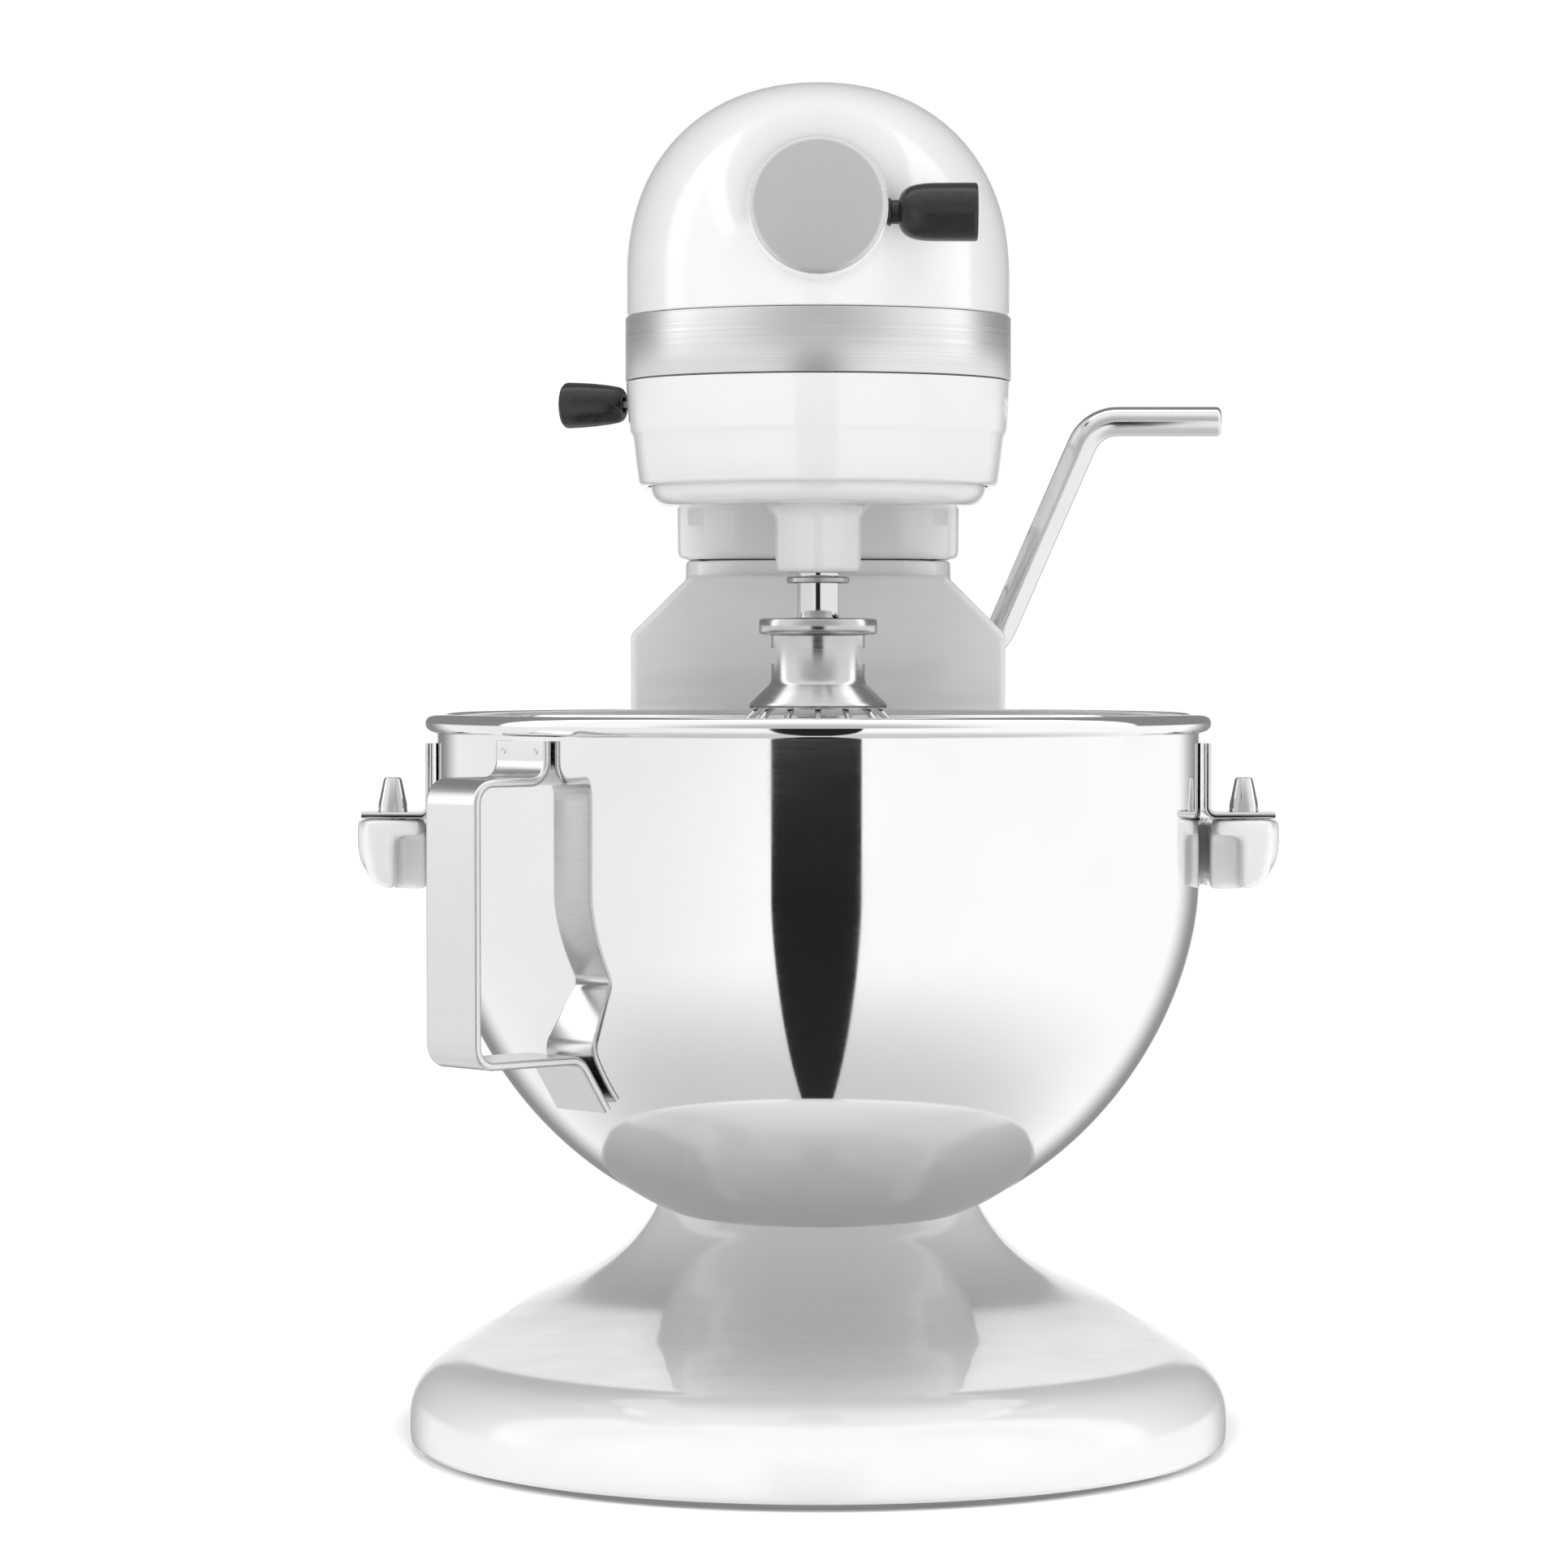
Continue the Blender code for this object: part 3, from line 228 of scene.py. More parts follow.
def polished_steel(name="polished_steel", roughness=(0.06, 0.14), colour=grey(0.74)):
    """Polished stainless steel with fine turning lines and soft smudges."""
    nodes = Nodes(name, colour, 0.1, 1.0)
    smudge = nodes.noise(18, detail=3)
    lines = nodes.noise(25, (1, 1, 90), 3)
    both = nodes.add("ShaderNodeMath", operation="ADD")
    nodes.link(smudge, both.inputs[0])
    nodes.link(lines, both.inputs[1])
    nodes.gloss(both.outputs["Value"], *roughness, 0.7, 1.3)
    nodes.tint(smudge, colour, tuple(c * 0.965 for c in colour))
    nodes.bump(lines, 0.02, 0.000006)
    return nodes.material


def satin_disc():
    """A flat satin metal face with a very fine blasted grain."""
    nodes = Nodes("satin_disc", grey(0.72), 0.45, 1.0)
    return nodes.worn(nodes.noise(2500, detail=2), (0.42, 0.50),
                      (grey(0.80), (0.775, 0.775, 0.778)), (0.06, 0.00003),
                      nodes.noise(40, detail=2))


def turned_metal():
    """Turned light metal with fine rings about an upright axis and a bright shine."""
    nodes = Nodes("turned_metal", (0.62, 0.62, 0.615), 0.20, 1.0)
    return nodes.worn(nodes.noise(40, (1, 1, 70), 4), (0.15, 0.25),
                      ((0.64, 0.64, 0.635), (0.56, 0.56, 0.555)), (0.05, 0.00002),
                      nodes.noise(60, detail=4))


def chrome():
    """Chrome plate with a few hairline marks."""
    nodes = Nodes("chrome", (0.80, 0.80, 0.805), 0.05, 1.0)
    return nodes.worn(nodes.noise(90, (1, 1, 4), 3), (0.12, 0.15),
                      ((0.82, 0.82, 0.825), (0.79, 0.79, 0.80)), (0.01, 0.00001),
                      nodes.noise(30))


def brushed(name, colour, stretch, roughness):
    """Metal brushed along one direction, which the stretch leaves long."""
    nodes = Nodes(name, colour, 0.3, 1.0)
    nodes.set("Anisotropic", 0.5)
    return nodes.worn(nodes.noise(60, stretch, 6), roughness,
                      (colour, tuple(c * 0.86 for c in colour)), (0.25, 0.00006))


def cast_metal():
    """Satin cast metal with a fine pebbled grain."""
    nodes = Nodes("satin_cast", (0.62, 0.62, 0.615), 0.36, 1.0)
    return nodes.worn(nodes.noise(700, detail=4), (0.30, 0.44),
                      ((0.64, 0.64, 0.635), (0.56, 0.56, 0.555)), (0.25, 0.00012),
                      nodes.noise(90))


def black_plastic():
    """Satin black moulding with a fine texture."""
    nodes = Nodes("black_plastic", (0.014, 0.014, 0.015), 0.26)
    grain = nodes.noise(600, detail=2)
    nodes.gloss(nodes.noise(70), 0.22, 0.31)
    nodes.tint(grain, (0.012, 0.012, 0.013), (0.018, 0.018, 0.019))
    nodes.bump(grain, 0.03, 0.00005)
    return nodes.material


def rubber():
    """Matte rubber, a little dusty."""
    nodes = Nodes("rubber", (0.035, 0.035, 0.036), 0.75)
    return nodes.worn(nodes.noise(120, detail=5), (0.65, 0.88),
                      ((0.03, 0.03, 0.031), (0.06, 0.059, 0.057)), (0.3, 0.0003))


def machined(name, colour):
    """Machined metal with an oily, uneven gloss."""
    nodes = Nodes(name, colour, 0.32, 1.0)
    oil = nodes.noise(80, detail=5)
    nodes.gloss(oil, 0.22, 0.48)
    nodes.tint(oil, colour, tuple(c * 0.75 for c in colour))
    nodes.bump(nodes.noise(500, (1, 1, 4), 3), 0.15, 0.00008)
    return nodes.material


def make_finishes():
    """Every finish by its slot in the record, and a few looks of single pieces."""
    return {
        "white_enamel": enamel(),
        "polished_steel": polished_steel(),
        "chrome": chrome(),
        "brushed_band": brushed("brushed_band", (0.86, 0.86, 0.855), (0.05, 0.05, 60),
                                (0.28, 0.40)),
        "satin_aluminium": cast_metal(),
        "black_knob": black_plastic(),
        "rubber": rubber(),
        "machined_steel": machined("machined_steel", (0.50, 0.50, 0.51)),
        "bronze": machined("bronze", (0.72, 0.53, 0.27)),
        "copper": machined("copper", (0.74, 0.40, 0.26)),
        "bowl_steel": polished_steel("bowl_steel", (0.035, 0.075), grey(0.93)),
        "satin_steel": polished_steel("satin_steel", (0.20, 0.30), grey(0.76)),
        "satin_disc": satin_disc(),
        "turned_metal": turned_metal(),
    }


FINISHES = make_finishes()
SLOT_OF = {part["node"]: part["material_slot"] for part in frame["record"]["subparts"]}
BODY_OF = {node: body for body, nodes in frame["record"]["behaviour"]["bodies"].items()
           for node in nodes}


# ---------------------------------------------------------------- building

def placed(name, data):
    """A new object in the scene."""
    obj = bpy.data.objects.new(name, data)
    bpy.context.scene.collection.objects.link(obj)
    return obj


def applied(obj):
    """The mesh that an object's modifiers or curve make. The object itself is removed."""
    bpy.context.view_layer.update()
    graph = bpy.context.evaluated_depsgraph_get()
    mesh = bpy.data.meshes.new_from_object(obj.evaluated_get(graph))
    bpy.data.objects.remove(obj)
    return mesh


def extra(name, mesh, node, look=None, sharp=32, place=None):
    """A smooth piece that rides with a CAD node's body and takes its slot or another look."""
    obj = placed(name, mesh)
    if place is not None:
        obj.matrix_world = place
    mesh.materials.clear()
    mesh.materials.append(FINISHES[look or SLOT_OF[node]])
    mesh.shade_smooth()
    mesh.set_sharp_from_angle(angle=math.radians(sharp))
    bpy.context.view_layer.update()
    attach(obj, BODY_OF[node])
    return obj


def dress(name, mesh, nodes, look=None, sharp=32):
    """A smooth piece that also replaces its CAD nodes."""
    obj = extra(name, mesh, nodes[0], look, sharp)
    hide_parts(*nodes)
    return obj


def mesh_from(name, points, faces):
    """A mesh with outward faces from points in millimetres."""
    mesh = bpy.data.meshes.new(name)
    mesh.from_pydata([Vector(p) * MM for p in points], [], faces)
    bm = bmesh.new()
    bm.from_mesh(mesh)
    bmesh.ops.remove_doubles(bm, verts=bm.verts, dist=0.000002)
    bmesh.ops.recalc_face_normals(bm, faces=bm.faces)
    bm.to_mesh(mesh)
    bm.free()
    return mesh


def lathe(name, profile, steps=96, ring=False, origin=(0, 0, 0), plane="XY"):
    """Turn (radius, height) pairs about a plane's normal through an origin."""
    rows = [[Vector(origin) + PLANES[plane] @ Vector((x, y, h))
             for x, y in disc_section(r, steps)] for r, h in profile]
    return skin(name, rows, loop=ring, caps=False)


def skin(name, rows, loop=False, caps=True):
    """Quads between rings of equal count."""
    points = [p for row in rows for p in row]
    count = len(rows[0])
    faces = []
    for k in range(len(rows) if loop else len(rows) - 1):
        a, b = k * count, ((k + 1) % len(rows)) * count
        for i in range(count):
            j = (i + 1) % count
            faces.append((a + i, a + j, b + j, b + i))
    if caps:
        faces.append(tuple(range(count)))
        faces.append(tuple(range((len(rows) - 1) * count, len(rows) * count)))
    return mesh_from(name, points, faces)


def smooth_path(points, steps):
    """Points on a smooth curve through all of the given ones (centripetal Catmull-Rom)."""
    points = [Vector(p) for p in points]
    points = [points[0] * 2 - points[1], *points, points[-1] * 2 - points[-2]]
    out = []
    for quad in zip(points, points[1:], points[2:], points[3:]):
        knots = [0.0]
        for before, after in zip(quad, quad[1:]):
            knots.append(knots[-1] + max((after - before).length, 1e-6) ** 0.5)
        for k in range(steps):
            t = knots[1] + (knots[2] - knots[1]) * k / steps
            a, b, c = (p.lerp(q, (t - start) / (end - start))
                       for p, q, start, end in zip(quad, quad[1:], knots, knots[1:]))
            ab = a.lerp(b, (t - knots[0]) / (knots[2] - knots[0]))
            bc = b.lerp(c, (t - knots[1]) / (knots[3] - knots[1]))
            out.append(ab.lerp(bc, k / steps))
    return out + [points[-2]]


def rounded(points, radius, steps=8):
    """An open path with its inner corners rounded to a radius."""
    path = [Vector(points[0])]
    for before, corner, after in zip(points, points[1:], points[2:]):
        corner = Vector(corner)
        back = (Vector(before) - corner).normalized()
        ahead = (Vector(after) - corner).normalized()
        half = back.angle(ahead) / 2
        reach = radius / math.tan(half)
        centre = corner + (back + ahead).normalized() * radius / math.sin(half)
        start = corner + back * reach - centre
        end = corner + ahead * reach - centre
        swing = start.angle(end)
        for i in range(steps + 1):
            angle = swing * i / steps
            path.append(centre + (start * math.sin(swing - angle)
                                  + end * math.sin(angle)) / math.sin(swing))
    path.append(Vector(points[-1]))
    return path


def heading(path, i):
    """The direction of a path at one of its points."""
    return (path[min(i + 1, len(path) - 1)] - path[max(i - 1, 0)]).normalized()


def sweep(name, path, section, sizes=None):
    """Carry a section of (across, up) pairs along a path, keeping it upright to the bends."""
    sizes = sizes or [1.0] * len(path)
    path = [Vector(p) for p in path]
    rows = []
    normal = None
    for i, point in enumerate(path):
        along = heading(path, i)
        if normal is None:
            guide = Vector((0, 1, 0)) if abs(along.y) < 0.9 else Vector((1, 0, 0))
            normal = along.cross(guide).normalized()
        normal = (normal - along * normal.dot(along)).normalized()
        side = along.cross(normal)
        rows.append([point + (side * u + normal * v) * sizes[i] for u, v in section])
    return skin(name, rows)


def quarter(steps):
    """Angles of a quarter turn in equal steps, without its start."""
    return [math.pi / 2 * i / steps for i in range(1, steps + 1)]


def disc_section(radius, sides):
    """Points of a round section."""
    return [(radius * math.cos(TURN * i / sides), radius * math.sin(TURN * i / sides))
            for i in range(sides)]


def steadied(path, reach=0.35, closed=False):
    """A path with extra points near the ends of its long parts, which keeps flats flat."""
    out = []
    for start, end in zip(path, path[1:] + (path[:1] if closed else [])):
        start, end = Vector(start), Vector(end)
        out.append(start)
        if (end - start).length > 4 * reach:
            step = (end - start).normalized() * reach
            out += [start + step, end - step]
    return out if closed else out + [Vector(path[-1])]


def bar_section(width, thickness, corner, steps=4):
    """Points of a flat bar's section with rounded corners."""
    points = []
    for turn, (sx, sy) in enumerate(((1, 1), (-1, 1), (-1, -1), (1, -1))):
        cx, cy = sx * (width / 2 - corner), sy * (thickness / 2 - corner)
        for i in range(steps + 1):
            angle = math.pi / 2 * (turn + i / steps)
            points.append((cx + corner * math.cos(angle), cy + corner * math.sin(angle)))
    return steadied(points, 0.25, closed=True)


def slab(name, outlines, bottom, top, plane="XY", bevel=0.0, segments=4):
    """A flat plate from outlines on a plane, with rounded edges, as a finished mesh."""
    curve = bpy.data.curves.new(name, "CURVE")
    curve.dimensions = "2D"
    curve.fill_mode = "BOTH"
    curve.extrude = (top - bottom) / 2 * MM
    for outline in outlines:
        spline = curve.splines.new("POLY")
        spline.points.add(len(outline) - 1)
        for point, place in zip(spline.points, outline):
            point.co = (place[0] * MM, place[1] * MM, 0, 1)
        spline.use_cyclic_u = True
    mesh = applied(placed(name, curve))
    bpy.data.curves.remove(curve)
    lift = Matrix.Translation((0, 0, (top + bottom) / 2 * MM))
    mesh.transform(PLANES[plane].to_4x4() @ lift)
    bm = bmesh.new()
    bm.from_mesh(mesh)
    bmesh.ops.remove_doubles(bm, verts=bm.verts, dist=0.000005)
    bmesh.ops.dissolve_limit(bm, angle_limit=0.01, verts=bm.verts, edges=bm.edges)
    if bevel:
        edges = [e for e in bm.edges if len(e.link_faces) == 2 and e.calc_face_angle(0) > 0.6]
        bmesh.ops.bevel(bm, geom=edges, offset=bevel * MM, segments=segments, profile=0.5,
                        affect="EDGES", clamp_overlap=True)
    bmesh.ops.recalc_face_normals(bm, faces=bm.faces)
    bm.to_mesh(mesh)
    bm.free()
    return mesh


def corners(left, bottom, right, top):
    """The four corners of a rectangle."""
    return [(left, bottom), (right, bottom), (right, top), (left, top)]


def rounded_loop(points, radius, steps=6):
    """A closed outline with every corner rounded."""
    start = (Vector(points[0]) + Vector(points[-1])) / 2
    return rounded([start, *points, start], radius, steps)[:-1]


def boxed(name, lowest, highest, bevel=0.0):
    """A box between two corners with rounded edges."""
    return slab(name, [corners(*lowest[:2], *highest[:2])], lowest[2], highest[2], bevel=bevel)


def carve(mesh, cutters, operation="DIFFERENCE"):
    """A copy of a mesh cut by, or joined to, others with exact Booleans."""
    obj = placed("carved", mesh)
    tools = [placed("tool", cutter) for cutter in cutters]
    for tool in tools:
        boolean = obj.modifiers.new("cut", "BOOLEAN")
        boolean.operation = operation
        boolean.object = tool
        boolean.solver = "EXACT"
    result = applied(obj)
    result.name = mesh.name
    for tool in tools:
        bpy.data.objects.remove(tool)
    return result


def drill(radius, lowest, highest, origin=(0, 0, 0), plane="XY", steps=48):
    """A round cutter between two heights on a plane's normal."""
    return lathe("drill", [(0, highest), (radius, highest), (radius, lowest), (0, lowest)],
                 steps, origin=origin, plane=plane)


def superellipse(z, half, front, widest, rear, front_power, rear_power, taper=0, steps=144):
    """A level ring of two superellipses that meet at y = widest, tapered towards its rear."""
    ring = []
    for i in range(steps):
        c = math.cos(TURN * i / steps)
        s = math.sin(TURN * i / steps)
        power = rear_power if s > 0 else front_power
        reach = rear - widest if s > 0 else widest - front
        share = math.copysign(abs(s) ** (2 / power), s)
        x = half * math.copysign(abs(c) ** (2 / power), c) * (1 - taper * max(share, 0))
        ring.append((x, widest + reach * share, z))
    return ring


def stadium(z, half, rear, steps=64):
    """A level ring with a half-round front about the bowl axis and a square rear."""
    angles = [math.pi * (1 + i / steps) for i in range(steps + 1)]
    ring = [(half * math.cos(a), BOWL_Y + half * math.sin(a), z) for a in angles]
    return ring + [(half, rear, z), (-half, rear, z)]


def head_half(z, inset=0.0):
    """The head's half-width at a height above its widest level."""
    share = min(max((z - HEAD_MID_Z) / (HEAD_RISE - inset), 0), 0.99995)
    return (HEAD_HALF - inset) * (1 - share ** HEAD_ROUND) ** (1 / HEAD_ROUND)


# ---------------------------------------------------------------- stand

# How square the front and the rear are, and how much the ring tapers towards its rear
BASE_SHAPE = (2.0, 2.6, 0.165)
COLUMN_SHAPE = (4.0, 4.0, 0.0)
# Height, half-width, front, widest place and rear of each ring, and its shape as above
PEDESTAL_RINGS = (
    (2.0, 125.6, -171.3, -45, 171.3, *BASE_SHAPE),
    (4.0, 127.1, -172.8, -45, 172.8, *BASE_SHAPE),
    (14.0, 127.0, -172.8, -45, 172.8, *BASE_SHAPE),
    (19.0, 125.5, -171.6, -45, 172.2, *BASE_SHAPE),
    (23.5, 122.6, -168.0, -45, 171.6, *BASE_SHAPE),
    (27.0, 118.6, -162.0, -45, 171.0, 2.0, 2.6, 0.142),
    (29.3, 113.4, -152.0, -42, 170.5, 2.0, 2.6, 0.124),
    (30.4, 109.0, -128.0, -25, 170.2, 2.1, 2.6, 0.115),
    (31.2, 104.2, -80.0, 5, 170.0, 2.2, 2.6, 0.109),
    (32.2, 98.6, -25.0, 40, 169.9, 2.3, 2.6, 0.101),
    (34.5, 88.9, 15.0, 64, 169.8, 2.4, 2.65, 0.083),
    (38.0, 77.6, 42.0, 85, 169.5, 2.6, 2.8, 0.055),
    (43.0, 68.3, 60.0, 100, 169.2, 2.8, 3.1, 0.016),
    (49.0, 61.4, 73.0, 112, 169.0, 3.2, 3.5, 0.0),
    (58.0, 55.4, 83.5, 122, 168.6, 3.6, 3.8, 0.0),
    (68.0, 52.4, 89.0, 128, 168.3, *COLUMN_SHAPE),
    (80.0, 51.2, 92.0, 130, 168.0, *COLUMN_SHAPE),
    (100.0, 50.2, 93.0, 130, 167.5, *COLUMN_SHAPE),
    (278.2, 45.7, 93.0, 130, 166.0, *COLUMN_SHAPE),
)
WALL = 4.0  # thickness of the casting


def blended_rings(rings, steps):
    """Rows between the given ones: places on a smooth curve, rears and shapes in equal steps."""
    shapes = [Vector(row[4:]) for row in rings]
    rows = []
    for i, place in enumerate(smooth_path([row[:4] for row in rings], steps)):
        k = min(i // steps, len(rings) - 2)
        rows.append((*place, *shapes[k].lerp(shapes[k + 1], i / steps - k)))
    return rows


def pedestal():
    """The cast base and column, hollow, with the slot that the yoke's boss slides in."""
    top = PEDESTAL_RINGS[-1]
    crown = [(COLUMN_TOP - drop, top[1] - inset, top[2] + inset, top[3], top[4] - inset,
              *top[5:]) for drop, inset in ((1.2, 0), (0.35, 0.35), (0, 1.2))]
    rows = blended_rings(PEDESTAL_RINGS[:-1], 5) + crown
    outer = skin("pedestal_skin", [superellipse(*row) for row in rows])
    inside = [(-1.0, 122.8, -168.0, -45, 168.0, *BASE_SHAPE)]
    for z, half, front, widest, rear, *shape in PEDESTAL_RINGS[2:]:
        inside.append((z - WALL, half - WALL, front + WALL, widest, rear - WALL, *shape))
    inner = skin("inside", [superellipse(*row, steps=56) for row in inside])
    slot = slab("slot", [corners(-8.6, 217.5, 8.6, 273)], -104, -88, "XZ")
    pivot = (0, HANDLE_Y, HANDLE_Z)
    cutters = [inner, slot, drill(7.0, 30, 60, pivot, "YZ"), drill(9.6, 44.4, 60, pivot, "YZ"),
               drill(5.3, 155, 175, (middle("cord_gland", 0), 0, middle("cord_gland", 2)), "ZX")]
    dress("pedestal_skin", carve(outer, cutters), ["pedestal"], sharp=35)


def feet():
    """Rubber feet with a rounded edge."""
    profile = [(0, 2.7), (12, 2.7), (12, 0.9), (11.7, 0.4), (11.2, 0.1), (10.6, 0), (7, 0),
               (6.6, 0.5), (0, 0.5)]
    for name in ("foot_front_left", "foot_front_right", "foot_rear_left", "foot_rear_right"):
        place = (middle(name, 0), middle(name, 1), 0)
        dress(name + "_skin", lathe(name, profile, 48, origin=place), [name])


def cord_gland():
    """The strain-relief bush in the back of the column."""
    x, z = middle("cord_gland", 0), middle("cord_gland", 2)
    profile = [(3.6, 160), (3.6, 171.0), (6.4, 170.9), (7.6, 170.3), (8.3, 169.0), (8.5, 166.9),
               (5.0, 166.9), (5.0, 160)]
    dress("gland_skin", lathe("gland", profile, 48, True, (x, 0, z), "ZX"), ["cord_gland"])


# ---------------------------------------------------------------- bowl lift

def soft_casting(mesh, voxel, rounds):
    """Remesh a hard-edged form at a voxel size and smooth it, which rounds its edges."""
    obj = placed("casting", mesh)
    remesh = obj.modifiers.new("remesh", "REMESH")
    remesh.mode = "VOXEL"
    remesh.voxel_size = voxel * MM
    relax = obj.modifiers.new("relax", "SMOOTH")
    relax.factor = 0.5
    relax.iterations = rounds
    return applied(obj)


def arm(side):
    """One arm of the yoke: a rib round the bowl that ends in a pad with a recess behind it."""
    section = [(143.0, 195.5), (143.0, 186.5), (142.2, 182.5), (140.2, 178.6), (137.2, 175.6),
               (134.0, 174.2), (131.0, 173.7), (121.6, 173.5), (121.6, 195.5)]
    rows, steps, front, reach = [], 48, -7, 80.8
    for k in range(steps + 1):
        angle = math.radians(front + reach * k / steps)
        inset = 2.5 * max(0, 1 - k / 2)
        rows.append([(side * (r + (inset if r < 130 else -inset * (r > 142))) * math.cos(angle),
                      BOWL_Y + r * math.sin(angle), z) for r, z in section])
    left, right = sorted((side * 118, side * 130.4))
    recess = boxed("recess", (left, -66, 170), (right, -50.0, 190.4))
    left, right = sorted((side * 30, side * 60))
    root = boxed("root", (left, 70, 173.5), (right, 92.6, 195.5))
    joined = carve(carve(skin("arm", rows), [recess]), [root], "UNION")
    return carve(joined, [drill(121.6, 170, 200, BOWL_AXIS, steps=160)])


def yoke():
    """The sliding bowl support: two arms round the bowl and the chamfered back plate."""
    arms, voxel, rounds = [], 0.7, 45
    for _, side in SIDES:
        soft = soft_casting(arm(side), voxel, rounds)
        hole = drill(4.1, 184, 200, (side * PIN_X, BOWL_Y, 0))
        flat_top = boxed("top", (-150, -80, 195.5), (150, 120, 200))
        arms.append(carve(soft, [hole, flat_top]))
    dress("yoke_arm_left", arms[0], ["bowl_support_yoke"], sharp=50)
    extra("yoke_arm_right", arms[1], "bowl_support_yoke", sharp=50)
    outline = [(-63, 165), (63, 165), (63, 253), (43, 273), (-43, 273), (-63, 253)]
    back = slab("plate", [rounded_loop(outline, 3.0)], -92.7, -83.0, "XZ", bevel=2.6)
    extra("yoke_plate", back, "bowl_support_yoke")
    extra("yoke_boss", boxed("boss", (-8, 90.7, 255), (8, 97.5, 272), 0.6),
          "bowl_support_yoke")


def pins():
    """Tapered locating pins with rounded tips."""
    profile = [(0, PIN_TOP), (2.0, PIN_TOP), (2.5, PIN_TOP - 0.2), (2.85, PIN_TOP - 0.7),
               (4.4, 200.2), (4.5, 199.6), (4.5, 195.8), (3.9, 195.8), (3.9, 184.4), (0, 184.4)]
    for end, side in SIDES:
        pin = lathe("pin", profile, 40, origin=(side * PIN_X, BOWL_Y, 0))
        dress(f"locating_pin_{end}_skin", pin, [f"locating_pin_{end}"])


def lift_spring():
    """The coil spring under the yoke's bracket, which on the real machine shortens as the bowl is
    lowered; it is built here at one length.
    """
    turns, per_turn, radius, wire, dead, gap = 7, 24, 5.0, 0.8, 0.8, 0.3
    bottom, top, centre = low("lift_spring", 2), high("lift_spring", 2), middle("lift_spring", 1)
    first, last = bottom + wire, top - wire
    closed = 2 * wire + 0.1  # the rise of an end coil, which lies nearly flat
    path = []
    for i in range(turns * per_turn + 1):
        turn = i / per_turn
        angle = TURN * turn
        ends = (min(turn, dead) + max(turn + dead - turns, 0)) / dead
        share = min(max((turn - dead) / (turns - 2 * dead), 0), 1)
        height = ends * closed + share * (last - first - 2 * closed)
        path.append((radius * math.cos(angle), centre + radius * math.sin(angle),
                     first + height))
    spring = dress("lift_spring_skin", sweep("coil", path, disc_section(wire, 12)),
                   ["lift_spring"])
    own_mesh(spring)


def lift_lever():
    """The chrome lever with a domed end."""
    end, radius, soft = high("lift_handle", 0), GRIP_R, 1.6
    inner, elbow, turn, outer = [Vector((x, HANDLE_Y, z)) for x, z in (
        (7.5, HANDLE_Z), (58.3, HANDLE_Z), (93.3, LEVER_Z), (end - soft - 0.01, LEVER_Z))]
    half = (elbow + turn) / 2
    line = rounded([inner, elbow, half], 18, 14) + rounded([half, turn, outer], 13, 14)[1:]
    shrink = [0.0] * len(line)
    for angle in quarter(6):
        line.append(Vector((end - soft + soft * math.sin(angle), HANDLE_Y, LEVER_Z)))
        shrink.append(soft * (1 - math.cos(angle)))
    sizes = [(radius - cut) / radius for cut in shrink]
    dress("lift_lever_skin", sweep("lever", line, disc_section(radius, 32), sizes),
          ["lift_handle"])


def bushing():
    """The flanged bush round the lever."""
    profile = [(GRIP_R + 0.3, 49.0), (8.6, 49.0), (9.1, 48.5), (9.2, 44.8), (6.7, 44.8),
               (6.7, 40.5), (GRIP_R + 0.3, 40.5)]
    dress("bushing_skin", lathe("bushing", profile, 56, True, (0, HANDLE_Y, HANDLE_Z), "YZ"),
          ["handle_bushing"])


# ---------------------------------------------------------------- bowl

def bowl_radius(z):
    """The bowl's outer radius at a height below its rim."""
    share = min(max((BOWL_TURN_Z - z) / BOWL_DEPTH, 0), 1)
    return BOWL_R * (1 - share ** BOWL_CURVE[0]) ** (1 / BOWL_CURVE[1])


def bowl():
    """The spun bowl: a thin wall, a rolled rim and a flat floor with a soft edge."""
    sheet, levels = 1.2, 56
    wall = []
    for i in range(levels + 1):
        z = BOWL_FLOOR + 1.6 + (BOWL_TURN_Z - BOWL_FLOOR - 1.6) * (i / levels) ** 1.5
        wall.append((bowl_radius(z), z))
    foot = [(30, BOWL_FLOOR), (35, BOWL_FLOOR + 0.1), (39.5, BOWL_FLOOR + 0.6)]
    wall = foot + wall
    inner = [(0, BOWL_FLOOR + sheet), (28, BOWL_FLOOR + sheet)]
    for before, (r, z), after in zip(wall, wall[1:], wall[2:] + [(BOWL_R, 200)]):
        slope = (Vector(after) - Vector(before)).normalized()
        inner.append((r - slope.y * sheet, z + slope.x * sheet))
    curl = (3.8 + sheet) / 2  # half the width of the rolled rim, which turns outwards
    rim = [(BOWL_R - sheet + curl + curl * math.cos(math.radians(d)),
            RIM_Z + 3 * math.sin(math.radians(d))) for d in range(180, -121, -12)]
    outer = [(BOWL_R, 223.6), (BOWL_R, 221.4), (BOWL_R, 200)] + wall[::-1] + [(0, BOWL_FLOOR)]
    profile = inner + [(BOWL_R - sheet, 200), (BOWL_R - sheet, 221.6)] + rim + outer
    mesh = lathe("bowl", profile, 180, origin=BOWL_AXIS)
    dress("bowl_skin", mesh, ["bowl"], look="bowl_steel", sharp=50)


def bent_strip(name, path, radial, across, section):
    """A section carried along a bent path of distances from the bowl's axis and heights."""
    rise = Vector((0, 0, 1))
    rows = []
    for i, point in enumerate(path):
        along = heading(path, i)
        here = Vector(BOWL_AXIS) + radial * point.x + rise * point.y
        up = rise * along.x - radial * along.y
        rows.append([here + across * u + up * v for u, v in section])
    return skin(name, rows)


